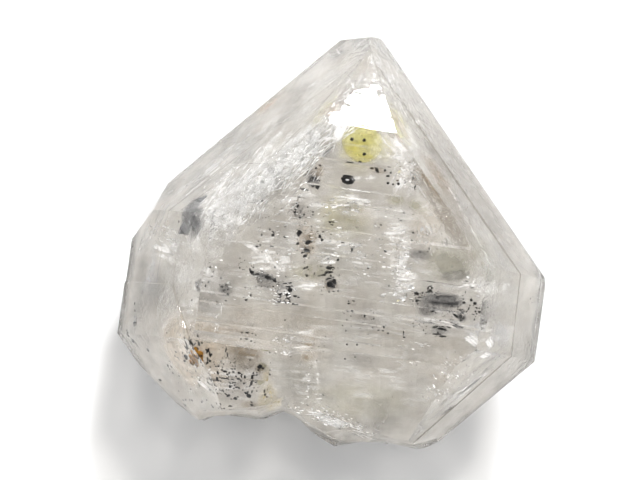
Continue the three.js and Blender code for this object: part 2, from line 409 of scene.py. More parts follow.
# %% [markdown]
# The stone is looked at from almost straight above with a long lens, turned a little so that its tip points
# up and to the right of the c axis. The camera is made early because clear quartz bends every line of sight:
# to put a speck where it should show, its place has to be worked out from where the eye is.

# %% The camera
ROLL = math.radians(8)
HEIGHT_ANGLE = math.radians(87)
LENS = 300
SENSOR = 36
VIEW_WIDTH = 33.13 * MM
MIDDLE_RIGHT = -0.62 * MM
MIDDLE_UP = 0.155 * MM

across = Vector((math.cos(ROLL), math.sin(ROLL), 0))
along = Vector((-math.sin(ROLL), math.cos(ROLL), 0))
back = Vector((0, 0, 1)) * math.sin(HEIGHT_ANGLE) - along * math.cos(HEIGHT_ANGLE)
upward = along * math.sin(HEIGHT_ANGLE) + Vector((0, 0, 1)) * math.cos(HEIGHT_ANGLE)
eye = SHIFT + MIDDLE_RIGHT * across + MIDDLE_UP * upward + back * (VIEW_WIDTH * LENS / SENSOR)

scene = bpy.context.scene
camera_data = bpy.data.cameras.new("camera")
camera_data.lens = LENS
camera_data.sensor_width = SENSOR
camera_data.clip_start = 0.01
camera_data.clip_end = 10
camera = bpy.data.objects.new("camera", camera_data)
camera.matrix_world = Matrix.Translation(eye) @ Matrix((across, upward, back)).transposed().to_4x4()
scene.collection.objects.link(camera)
scene.camera = camera
print("camera stands", round(eye.z / MM), "mm above the table")

# %% [markdown]
# A ray from the eye meets a face, bends by Snell's law and goes on straight to the speck. Following it the
# same way puts each inclusion at its real depth and still in its right place as seen. A search tree of the
# crystal's faces finds where the ray goes in, and how far it can go before it would come out again.

# %% Where a thing inside the stone has to be
QUARTZ_IOR = 1.544
# mm of clear quartz that stay between a thing and the face behind it
SKIN = 0.3
# things go at most this share of the way down to this height over the table, to stay in the clear upper half
SHARE = 0.5
LOWEST = 5.6
# mm that a thing goes in where the stone is too thin for that
SHALLOW = 0.5
# mm past a face where the bent ray starts, so that it doesn't meet the same face again
STEP_IN = 0.02

faces_tree = BVHTree.FromPolygons(
    [v.co / MM for v in crystal.data.vertices], [tuple(p.vertices) for p in crystal.data.polygons]
)


def depth_of(point):
    """How far a point in metres lies inside the stone, in mm; less than nothing when it is outside."""
    _, _, _, gap = faces_tree.find_nearest(point / MM)
    _, normal, _, _ = faces_tree.ray_cast(point / MM, Vector((0, 0, 1)))
    return gap if normal is not None and normal.z > 0 else -gap


def seen_at(x, y, depth):
    """The place in metres, depth mm under the surface, of what shows at x, y mm in the crystal's axes."""
    start = eye / MM
    ray = (SHIFT / MM + Vector((x, y, 0)) - start).normalized()
    hit, normal, _, _ = faces_tree.ray_cast(start, ray)
    if hit is None:
        return None
    cosine = -normal.dot(ray)
    ratio = 1 / QUARTZ_IOR
    bent = ratio * ray + (ratio * cosine - math.sqrt(1 - ratio**2 * (1 - cosine**2))) * normal
    bent.normalize()
    _, _, _, room = faces_tree.ray_cast(hit + bent * STEP_IN, bent)
    reach = max(min((room or 0) - SKIN, (hit.z - LOWEST) * SHARE), SHALLOW)
    return (hit + bent * min(depth, reach)) * MM


print("under the middle of the top face, mm:", [round(v / MM, 2) for v in seen_at(0, 0, 3)])

# %% [markdown]
# Every finish is a small node tree. These three helpers keep the trees short to read: one places a node with
# its settings, one starts a material with its Principled shader, and one gives a piece its material.

# %% Helpers for node trees


def node(tree, kind, **settings):
    """A new node with its settings."""
    made = tree.nodes.new(kind)
    for name, value in settings.items():
        setattr(made, name, value)
    return made


def finish_named(name, color, roughness, **settings):
    """A material with its Principled shader set, as (material, tree, shader)."""
    material = bpy.data.materials.new(name)
    material.use_nodes = True
    tree = material.node_tree
    shader = tree.nodes["Principled BSDF"]
    shader.inputs["Base Color"].default_value = (*color, 1)
    shader.inputs["Roughness"].default_value = roughness
    for key, value in settings.items():
        shader.inputs[key.replace("_", " ")].default_value = value
    return material, tree, shader


def dress(piece, material):
    """Gives a piece one finish."""
    piece.data.materials.clear()
    piece.data.materials.append(material)


print("helpers ready, Blender", bpy.app.version_string)

# %% [markdown]
# Two patterns come back in many finishes of this stone, so each is a shader group. Cloud is a soft noise with
# a contrast, for stains and healed cracks. Grain lines is the same noise drawn out along one direction, for
# the fine lines that quartz grows and cracks along.

# %% Shader groups: cloud and grain lines


def pattern_group(name, stretch):
    """A noise pattern from 0 to 1 over the places given, stretched by three numbers."""
    tree = bpy.data.node_groups.new(name, "ShaderNodeTree")
    tree.interface.new_socket("Place", in_out="INPUT", socket_type="NodeSocketVector")
    for label, value in (("Scale", 900.0), ("Detail", 4.0), ("Low", 0.4), ("High", 0.6)):
        tree.interface.new_socket(label, in_out="INPUT", socket_type="NodeSocketFloat").default_value = value
    tree.interface.new_socket("Mask", in_out="OUTPUT", socket_type="NodeSocketFloat")
    inside = node(tree, "NodeGroupInput")
    outside = node(tree, "NodeGroupOutput")
    drawn = node(tree, "ShaderNodeMapping")
    drawn.inputs["Scale"].default_value = stretch
    noise = node(tree, "ShaderNodeTexNoise")
    levels = node(tree, "ShaderNodeMapRange", interpolation_type="SMOOTHSTEP")
    tree.links.new(inside.outputs["Place"], drawn.inputs["Vector"])
    tree.links.new(drawn.outputs["Vector"], noise.inputs["Vector"])
    tree.links.new(inside.outputs["Scale"], noise.inputs["Scale"])
    tree.links.new(inside.outputs["Detail"], noise.inputs["Detail"])
    tree.links.new(noise.outputs["Factor" if "Factor" in noise.outputs else "Fac"], levels.inputs["Value"])
    tree.links.new(inside.outputs["Low"], levels.inputs["From Min"])
    tree.links.new(inside.outputs["High"], levels.inputs["From Max"])
    tree.links.new(levels.outputs["Result"], outside.inputs["Mask"])
    return tree


CLOUD = pattern_group("cloud", (1, 1, 1))
GRAIN_LINES = pattern_group("grain_lines", (0.07, 1, 0.6))
print("shader groups:", [g.name for g in bpy.data.node_groups])

# %% [markdown]
# A finish calls a group with its own numbers. These helpers place the group, multiply masks, and put a mask
# to work: as a change of colour, as a fine relief, or as both ends of a smooth ramp.

# %% Helpers that put a pattern to work


def pattern(tree, group, scale, detail, low, high, own=False, turn=0.0):
    """A pattern's Mask, on Object coordinates turned round the vertical, or on a sheet's own flat place."""
    made = node(tree, "ShaderNodeGroup")
    made.node_tree = group
    for label, value in (("Scale", scale), ("Detail", detail), ("Low", low), ("High", high)):
        made.inputs[label].default_value = value
    if own:
        place = node(tree, "ShaderNodeAttribute", attribute_name="own").outputs["Vector"]
    else:
        turned = node(tree, "ShaderNodeMapping")
        turned.inputs["Rotation"].default_value = (0, 0, math.radians(turn))
        tree.links.new(node(tree, "ShaderNodeTexCoord").outputs["Object"], turned.inputs["Vector"])
        place = turned.outputs["Vector"]
    tree.links.new(place, made.inputs["Place"])
    return made.outputs["Mask"]


def product(tree, *factors):
    """The product of several number sockets."""
    result = factors[0]
    for factor in factors[1:]:
        times = node(tree, "ShaderNodeMath", operation="MULTIPLY")
        tree.links.new(result, times.inputs[0])
        if isinstance(factor, float):
            times.inputs[1].default_value = factor
        else:
            tree.links.new(factor, times.inputs[1])
        result = times.outputs[0]
    return result


def tones(tree, shader, mask, first, second):
    """Lets the base colour go from first to second by the mask."""
    mix = node(tree, "ShaderNodeMix", data_type="RGBA")
    tree.links.new(mask, mix.inputs["Factor"])
    ends = [s for s in mix.inputs if s.type == "RGBA"]
    ends[0].default_value = (*first, 1)
    ends[1].default_value = (*second, 1)
    blended = [s for s in mix.outputs if s.type == "RGBA"][0]
    tree.links.new(blended, shader.inputs["Base Color"])


def relief(tree, shader, height, strength, distance):
    """Lets a mask raise the surface, for the light alone."""
    bump = node(tree, "ShaderNodeBump")
    bump.inputs["Strength"].default_value = strength
    bump.inputs["Distance"].default_value = distance
    tree.links.new(height, bump.inputs["Height"])
    tree.links.new(bump.outputs["Normal"], shader.inputs["Normal"])


def ramp(tree, value, start, end):
    """A number that goes smoothly from 0 to 1 while the value goes from start to end."""
    made = node(tree, "ShaderNodeMapRange", interpolation_type="SMOOTHSTEP")
    made.inputs["From Min"].default_value = start
    made.inputs["From Max"].default_value = end
    tree.links.new(value, made.inputs["Value"])
    return made.outputs["Result"]


print("a pattern's inputs:", [s.name for s in CLOUD.interface.items_tree if s.in_out == "INPUT"])

# %% [markdown]
# The small face at the tip mirrors a lamp as one clean white window. The real face is clean only between two
# lines; beyond them it is crackled, which breaks the window's edge up. The crackle is a strong fine relief
# that begins along a ragged line past the two bounds and dies away farther out.

# %% The crackle round the clean part of the tip face
TIP_BORDER = [
    # direction across, direction along and distance in mm of a line that bounds the clean part
    (-0.8457, 0.5335, 4.13),
    (0.8407, 0.5415, 5.05),
]
# mm past the bounds
CRACKLE_BEGINS = (0.2, 0.5)
CRACKLE_ENDS = (2.0, 1.2)
RAGGED = 0.6
CRACKLE_HEIGHT = 10.0


def past_border(tree):
    """How far a place lies past the bounds of the clean part, in metres."""
    most = node(tree, "ShaderNodeMath", operation="MAXIMUM")
    for socket, (line_across, line_along, distance) in zip(most.inputs, TIP_BORDER):
        side = node(tree, "ShaderNodeVectorMath", operation="DOT_PRODUCT")
        tree.links.new(node(tree, "ShaderNodeTexCoord").outputs["Object"], side.inputs[0])
        side.inputs[1].default_value = (line_across, line_along, 0)
        over = node(tree, "ShaderNodeMath", operation="SUBTRACT")
        tree.links.new(side.outputs["Value"], over.inputs[0])
        over.inputs[1].default_value = distance * MM
        tree.links.new(over.outputs["Value"], socket)
    return most.outputs["Value"]


def crackle_height(tree):
    """The height of the crackle, in the same measure as the growth lines'."""
    border = past_border(tree)
    ragged = node(tree, "ShaderNodeMath", operation="MULTIPLY_ADD")
    tree.links.new(pattern(tree, CLOUD, 1800, 3, 0.3, 0.7), ragged.inputs[0])
    ragged.inputs[1].default_value = RAGGED * MM
    tree.links.new(border, ragged.inputs[2])
    begins = ramp(tree, ragged.outputs["Value"], *[gap * MM for gap in CRACKLE_BEGINS])
    ends = ramp(tree, border, *[gap * MM for gap in CRACKLE_ENDS])
    return product(tree, pattern(tree, CLOUD, 3600, 4, 0.3, 0.7), begins, ends, CRACKLE_HEIGHT)


print("the crackle begins", CRACKLE_BEGINS, "mm past the clean part")

# %% [markdown]
# The stone itself is glass with quartz's own refractive index. Its faint smoky beige is not a colour on the
# surface but light lost on the way through, so it is volume absorption. The bump gives the faces their fine
# growth lines. Lamps can't find their way through a bending surface, so for shadow rays alone the stone is
# plainly transparent: light then reaches what is inside, and the shadow on the table is soft and grey.

# %% Quartz
QUARTZ_TINT = (0.86, 0.83, 0.78)
QUARTZ_DENSITY = 35.0
QUARTZ_SHADOW = (0.77, 0.76, 0.745)


def lose_light(tree, tint, density):
    """Takes the other colours away from light on its way through a clear piece."""
    loss = node(tree, "ShaderNodeVolumeAbsorption")
    loss.inputs["Color"].default_value = (*tint, 1)
    loss.inputs["Density"].default_value = density
    tree.links.new(loss.outputs["Volume"], tree.nodes["Material Output"].inputs["Volume"])


def let_lamps_in(tree, shader, tint):
    """Makes a clear piece plainly transparent for shadow rays."""
    plain = node(tree, "ShaderNodeBsdfTransparent")
    plain.inputs["Color"].default_value = (*tint, 1)
    paths = node(tree, "ShaderNodeLightPath")
    either = node(tree, "ShaderNodeMixShader")
    tree.links.new(paths.outputs["Is Shadow Ray"], either.inputs["Fac"])
    tree.links.new(shader.outputs["BSDF"], either.inputs[1])
    tree.links.new(plain.outputs["BSDF"], either.inputs[2])
    tree.links.new(either.outputs["Shader"], tree.nodes["Material Output"].inputs["Surface"])


quartz, tree, shader = finish_named("clear_quartz", (1, 1, 1), 0.0, Transmission_Weight=1.0, IOR=QUARTZ_IOR)
both = node(tree, "ShaderNodeMath", operation="ADD")
tree.links.new(pattern(tree, GRAIN_LINES, 2600, 3, 0.35, 0.65), both.inputs[0])
tree.links.new(crackle_height(tree), both.inputs[1])
relief(tree, shader, both.outputs["Value"], 0.35, 0.01 * MM)
lose_light(tree, QUARTZ_TINT, QUARTZ_DENSITY)
let_lamps_in(tree, shader, QUARTZ_SHADOW)
dress(crystal, quartz)
print("quartz: index", QUARTZ_IOR, "and", len(tree.nodes), "nodes")

# %% [markdown]
# Petroleum inside quartz: its own index is a little lower than the stone's, so seen from the stone the step
# is less than one. The yellow comes from absorption again, which makes the thick middle deeper than the rim.

# %% Petroleum
OIL_STEP = 0.945
OIL_TINT = (0.97, 0.93, 0.3)
OIL_DENSITY = 420.0
OIL_SHADOW = (0.9, 0.885, 0.79)

petroleum, tree, shader = finish_named(
    "yellow_petroleum", (1, 1, 1), 0.0, Transmission_Weight=1.0, IOR=OIL_STEP
)
murk = pattern(tree, CLOUD, 1400, 3, 0.3, 0.8)
tones(tree, shader, murk, (1.0, 0.99, 0.72), (1.0, 0.97, 0.5))
lose_light(tree, OIL_TINT, OIL_DENSITY)
let_lamps_in(tree, shader, OIL_SHADOW)
print("petroleum: index", round(OIL_STEP * QUARTZ_IOR, 2), "of its own")

# %% [markdown]
# Bitumen is black, hard and glossy, with duller skins on some beads. Resin is the same stuff less baked: it
# goes from black to clear amber. Both lie against quartz, not air, so their step of index is small and they
# mirror little. The film on the healed crack is thin, so its growth lines show in it.

# %% Bitumen, resin and the film
SEALED_STEP = 1.07

bitumen, tree, shader = finish_named("black_bitumen", (0.008, 0.007, 0.006), 0.3, IOR=SEALED_STEP)
skin = pattern(tree, CLOUD, 5200, 3, 0.42, 0.62)
tones(tree, shader, skin, (0.002, 0.002, 0.002), (0.014, 0.012, 0.01))
dull = node(tree, "ShaderNodeMapRange")
dull.inputs["To Min"].default_value = 0.15
dull.inputs["To Max"].default_value = 0.5
tree.links.new(skin, dull.inputs["Value"])
tree.links.new(dull.outputs["Result"], shader.inputs["Roughness"])

resin, tree, shader = finish_named("amber_resin", (0.2, 0.09, 0.02), 0.25, IOR=SEALED_STEP)
clot = pattern(tree, CLOUD, 2600, 4, 0.26, 0.42)
tones(tree, shader, clot, (0.02, 0.009, 0.003), (0.36, 0.16, 0.007))

film, tree, shader = finish_named("bitumen_film", (0.06, 0.055, 0.05), 0.3, Metallic=0.5)
lines = pattern(tree, GRAIN_LINES, 3400, 2, 0.42, 0.58, turn=25)
tones(tree, shader, lines, (0.01, 0.01, 0.01), (0.3, 0.3, 0.3))
relief(tree, shader, lines, 0.5, 0.03 * MM)
print("finishes:", bitumen.name, resin.name, film.name)

# %% [markdown]
# A crack in quartz holds a film of air that throws light back like a mirror, so it looks silver. It is a
# thin sheet whose alpha comes from patterns, and a number kept on each sheet, called fade, lets it die away
# towards its rim. Short stretches of crack are small plain flakes instead, and fine white threads run
# beside them as painted glints, white in their own colour.

# %% Silver cracks, flakes and painted glint threads


def sheet_alpha(tree, shader, *masks):
    """Alpha from the sheet's own fade and the masks given."""
    fade = node(tree, "ShaderNodeAttribute", attribute_name="fade")
    tree.links.new(product(tree, fade.outputs["Fac"], *masks), shader.inputs["Alpha"])


silver, tree, shader = finish_named("silver_crack", (0.95, 0.95, 0.96), 0.16, Metallic=1.0)
patch = pattern(tree, CLOUD, 2200, 3, 0.4, 0.56, own=True)
sheet_alpha(tree, shader, patch, pattern(tree, GRAIN_LINES, 5200, 4, 0.47, 0.6, own=True))
relief(tree, shader, pattern(tree, GRAIN_LINES, 4100, 3, 0.2, 0.8, own=True), 1.0, 0.08 * MM)

sparkle, tree, shader = finish_named("silver_flake", (0.97, 0.97, 0.97), 0.1, Metallic=1.0)
tones(tree, shader, pattern(tree, CLOUD, 2500, 2, 0.35, 0.65), (0.8, 0.79, 0.78), (0.98, 0.98, 0.98))

# painted glints: a dull white finish that stands for light thrown back by crack edges
thread, tree, shader = finish_named("painted_glint_thread", (0.97, 0.97, 0.97), 0.5)
tones(tree, shader, pattern(tree, CLOUD, 2500, 2, 0.35, 0.65), (0.9, 0.9, 0.89), (0.98, 0.98, 0.98))
print("finishes:", silver.name, sparkle.name, thread.name)

# %% [markdown]
# Healed cracks are veils of tiny bubbles, white and soft, and growth lines are fainter streaks of the same.
# Both are sheets that show only where a soft cloud and fine grain lines agree.

# %% White veils and growth lines


def milky_sheet(name, cloud, strands, dim, bright):
    """A white sheet that shows where a cloud and grain lines both let it."""
    made, tree, shader = finish_named(name, (0.95, 0.95, 0.95), 0.6)
    milk = pattern(tree, CLOUD, *cloud, own=True)
    sheet_alpha(tree, shader, milk, pattern(tree, GRAIN_LINES, *strands, own=True))
    tones(tree, shader, milk, dim, bright)
    return made


veil = milky_sheet(
    "white_veil", (1500, 5, 0.36, 0.6), (4200, 4, 0.4, 0.62), (0.88, 0.87, 0.86), (0.99, 0.99, 0.99)
)
growth_line = milky_sheet(
    "growth_line", (800, 4, 0.46, 0.66), (4600, 4, 0.44, 0.68), (0.9, 0.89, 0.87), (0.98, 0.98, 0.97)
)
print("finishes:", veil.name, growth_line.name)

# %% [markdown]
# Some cracks carry a smear of bitumen, dark, with a grey sheen along its grain that is painted into its
# colour. The middle of the stone is milky with bubbles too small to tell apart, so a few wide sheets of haze
# stand in for them. Stains are sheets again, and each takes its colour from a tint of its own.

# %% Dark film with painted sheen, haze and stain
dark_film, tree, shader = finish_named("dark_film", (0.1, 0.1, 0.1), 0.35, IOR=SEALED_STEP)
lines = pattern(tree, GRAIN_LINES, 5200, 3, 0.38, 0.62, own=True)
# painted sheen: the grain lines lighten the film's colour to grey
tones(tree, shader, lines, (0.012, 0.011, 0.011), (0.2, 0.195, 0.19))
sheet_alpha(tree, shader, pattern(tree, CLOUD, 2600, 4, 0.30, 0.48, own=True))

milk_haze, tree, shader = finish_named("milk_haze", (0.6, 0.58, 0.55), 0.7)
sheet_alpha(tree, shader, pattern(tree, CLOUD, 420, 6, 0.15, 0.65))
tones(tree, shader, pattern(tree, CLOUD, 700, 4, 0.3, 0.7), (0.70, 0.66, 0.605), (0.92, 0.90, 0.86))

stain, tree, shader = finish_named("stain", (0.6, 0.55, 0.4), 0.6)
tint = node(tree, "ShaderNodeAttribute", attribute_name="tint")
tree.links.new(tint.outputs["Color"], shader.inputs["Base Color"])
sheet_alpha(tree, shader, pattern(tree, CLOUD, 2100, 5, 0.24, 0.54))
print("finishes:", dark_film.name, milk_haze.name, stain.name)

# %% [markdown]
# Every small thing inside the stone repeats a simple shape many times: a crumb, a flake or a soft-edged
# sheet. One Geometry Nodes tree serves them all. It takes bare points that carry a size, a turn and a tint,
# puts a copy of the shape on each, makes the copies real and then roughens them with noise, so that no two
# are the same. What changes from piece to piece is the shape and the numbers.

# %% The shapes: crumb, flake and sheet
RIM_FADES = (1.0, 0.25)


def carrying(tree, geometry, key, kind, value):
    """The geometry with a value stored on its points."""
    store = node(tree, "GeometryNodeStoreNamedAttribute", data_type=kind, domain="POINT")
    store.inputs["Name"].default_value = key
    tree.links.new(geometry, store.inputs["Geometry"])
    tree.links.new(value, store.inputs["Value"])
    return store.outputs["Geometry"]


def crumb_form(tree, fineness):
    """A ball of triangles."""
    form = node(tree, "GeometryNodeMeshIcoSphere")
    tree.links.new(fineness, form.inputs["Subdivisions"])
    return form.outputs["Mesh"]


def flake_form(tree, fineness):
    """A flat plate with few sides."""
    form = node(tree, "GeometryNodeMeshCircle", fill_type="TRIANGLE_FAN")
    tree.links.new(fineness, form.inputs["Vertices"])
    return form.outputs["Mesh"]


def sheet_form(tree, fineness):
    """A square grid two wide that keeps, at each point, its flat place and how near it is to the rim."""
    form = node(tree, "GeometryNodeMeshGrid")
    for side in ("X", "Y"):
        form.inputs["Size " + side].default_value = 2
        tree.links.new(fineness, form.inputs["Vertices " + side])
    here = node(tree, "GeometryNodeInputPosition").outputs["Position"]
    reach = node(tree, "ShaderNodeVectorMath", operation="LENGTH")
    tree.links.new(here, reach.inputs[0])
    rim = ramp(tree, reach.outputs["Value"], *RIM_FADES)
    rimmed = carrying(tree, form.outputs["Mesh"], "rim", "FLOAT", rim)
    return carrying(tree, rimmed, "flat", "FLOAT_VECTOR", here)


SHAPES = {"crumb": crumb_form, "flake": flake_form, "sheet": sheet_form}
print("shapes:", list(SHAPES))

# %% [markdown]
# The tree itself. Its inputs are named, so that each piece can set its fineness, how much it is roughened,
# the grain of the roughening and a seed of its own.

# %% The scatter tree
SCATTER_INPUTS = [
    ("Fineness", "NodeSocketInt", 1),
    ("Roughen", "NodeSocketFloat", 0.5),
    ("Grain", "NodeSocketFloat", 6000.0),
    ("Seed", "NodeSocketFloat", 1.0),
]
NOISE_MIDDLE = (0.5, 0.5, 0.5)


def stored_vector(tree, key):
    """A vector that the points carry."""
    read = node(tree, "GeometryNodeInputNamedAttribute", data_type="FLOAT_VECTOR")
    read.inputs["Name"].default_value = key
    return read.outputs["Attribute"]


def roughening(tree, inside, size):
    """How far each point is pushed: noise about its middle, as strong as the copy is large."""
    link = tree.links.new
    noise = node(tree, "ShaderNodeTexNoise", noise_dimensions="4D")
    link(inside.outputs["Grain"], noise.inputs["Scale"])
    link(inside.outputs["Seed"], noise.inputs["W"])
    about = node(tree, "ShaderNodeVectorMath", operation="SUBTRACT")
    about.inputs[1].default_value = NOISE_MIDDLE
    link(noise.outputs["Color"], about.inputs[0])
    width = node(tree, "ShaderNodeVectorMath", operation="LENGTH")
    link(size, width.inputs[0])
    push = node(tree, "ShaderNodeVectorMath", operation="SCALE")
    link(about.outputs["Vector"], push.inputs[0])
    link(product(tree, width.outputs["Value"], inside.outputs["Roughen"]), push.inputs["Scale"])
    return push.outputs["Vector"]


def scatter_tree(name, shape, material):
    """A Geometry Nodes tree that sets out copies of a shape."""
    tree = bpy.data.node_groups.new(name, "GeometryNodeTree")
    tree.interface.new_socket("Geometry", in_out="INPUT", socket_type="NodeSocketGeometry")
    for label, kind, value in SCATTER_INPUTS:
        tree.interface.new_socket(label, in_out="INPUT", socket_type=kind).default_value = value
    tree.interface.new_socket("Geometry", in_out="OUTPUT", socket_type="NodeSocketGeometry")
    inside = node(tree, "NodeGroupInput")
    outside = node(tree, "NodeGroupOutput")
    link = tree.links.new

    size = stored_vector(tree, "size")
    angle = node(tree, "FunctionNodeEulerToRotation")
    link(stored_vector(tree, "turn"), angle.inputs[0])
    copies = node(tree, "GeometryNodeInstanceOnPoints")
    link(inside.outputs["Geometry"], copies.inputs["Points"])
    link(SHAPES[shape](tree, inside.outputs["Fineness"]), copies.inputs["Instance"])
    link(angle.outputs[0], copies.inputs["Rotation"])
    link(size, copies.inputs["Scale"])
    real = node(tree, "GeometryNodeRealizeInstances")
    link(copies.outputs["Instances"], real.inputs["Geometry"])

    moved = node(tree, "GeometryNodeSetPosition")
    link(real.outputs["Geometry"], moved.inputs["Geometry"])
    link(roughening(tree, inside, size), moved.inputs["Offset"])
    colored = node(tree, "GeometryNodeSetMaterial")
    colored.inputs["Material"].default_value = material
    link(moved.outputs["Geometry"], colored.inputs["Geometry"])
    link(colored.outputs["Geometry"], outside.inputs["Geometry"])
    return tree


print("scatter inputs:", [label for label, _, _ in SCATTER_INPUTS])

# %% [markdown]
# A sheet must not end in a hard edge, nor show outside the stone. So the fade of each point is the product of
# its rim, its strength and its depth under the nearest face. A sheet also keeps flat coordinates of its own,
# which its patterns follow: the grain lines then run along the sheet, however it is turned.

# %% The fade of a sheet
FADE_START = 0.12
FADE_WIDTH = 0.45
TOO_FAINT = 0.003


def values_of(mesh, key, field, width):
    """One stored attribute of a mesh as a list of lists."""
    flat = [0.0] * len(mesh.vertices) * width
    mesh.attributes[key].data.foreach_get(field, flat)
    return [flat[i : i + width] for i in range(0, len(flat), width)]


def give_sheets_their_fade(mesh):
    """Stores the fade and the flat coordinates on a mesh of sheets, and drops faces that can't show."""
    rims = values_of(mesh, "rim", "value", 1)
    tints = values_of(mesh, "tint", "color", 4)
    flats = values_of(mesh, "flat", "vector", 3)
    sizes = values_of(mesh, "size", "vector", 3)
    turns = values_of(mesh, "turn", "vector", 3)
    depths = [depth_of(v.co) for v in mesh.vertices]
    cover = [min(max((d - FADE_START) / FADE_WIDTH, 0.0), 1.0) for d in depths]
    fade = mesh.attributes.new("fade", "FLOAT", "POINT")
    fade.data.foreach_set("value", [r[0] * t[3] * c for r, t, c in zip(rims, tints, cover)])
    own = mesh.attributes.new("own", "FLOAT_VECTOR", "POINT")
    places = [[f[i] * s[i] + t[i] for i in range(3)] for f, s, t in zip(flats, sizes, turns)]
    own.data.foreach_set("vector", [v for place in places for v in place])
    for key in ("rim", "flat", "size", "turn"):
        mesh.attributes.remove(mesh.attributes[key])
    bm = bmesh.new()
    bm.from_mesh(mesh)
    bm.verts.ensure_lookup_table()
    unseen = [f for f in bm.faces if all(cover[v.index] * rims[v.index][0] < TOO_FAINT for v in f.verts)]
    bmesh.ops.delete(bm, geom=unseen, context="FACES")
    bm.to_mesh(mesh)
    bm.free()


print("sheets fade over", FADE_WIDTH, "mm under a face")

# %% [markdown]
# One function makes a finished piece from its points: it stores each point's size, turn and tint, lets the
# tree work once with the piece's own numbers, and keeps the result as a plain mesh.

# %% Set out a piece

def scatter(name, points, shape, material, **settings):
    """A finished piece: the shape set out on points of (place, size, turn, tint and strength)."""
    mesh = bpy.data.meshes.new(name)
    mesh.from_pydata([p[0] for p in points], [], [])
    for key, index in (("size", 1), ("turn", 2)):
        stored = mesh.attributes.new(key, "FLOAT_VECTOR", "POINT")
        stored.data.foreach_set("vector", [v for p in points for v in p[index]])
    stored = mesh.attributes.new("tint", "FLOAT_COLOR", "POINT")
    stored.data.foreach_set("color", [v for p in points for v in p[3]])
    piece = bpy.data.objects.new(name, mesh)
    scene.collection.objects.link(piece)
    tree = scatter_tree(name, shape, material)
    modifier = piece.modifiers.new(name, "NODES")
    modifier.node_group = tree
    for item in tree.interface.items_tree:
        if item.in_out == "INPUT" and item.name in settings:
            modifier[item.identifier] = settings[item.name]
    result = settle(piece, modifier)
    if shape == "sheet":
        give_sheets_their_fade(result)
    print(name, len(points), "places,", len(result.polygons), "faces")
    return piece


# %% [markdown]
# The bitumen. It was trapped as black beads, dashes and crumbs on the crystal's old cracks, so it lies in
# drifts, not evenly. The larger crumbs are set out one by one: where each shows across and along the crystal,
# its length and width, and how far its long side is turned, all in millimetres and degrees.

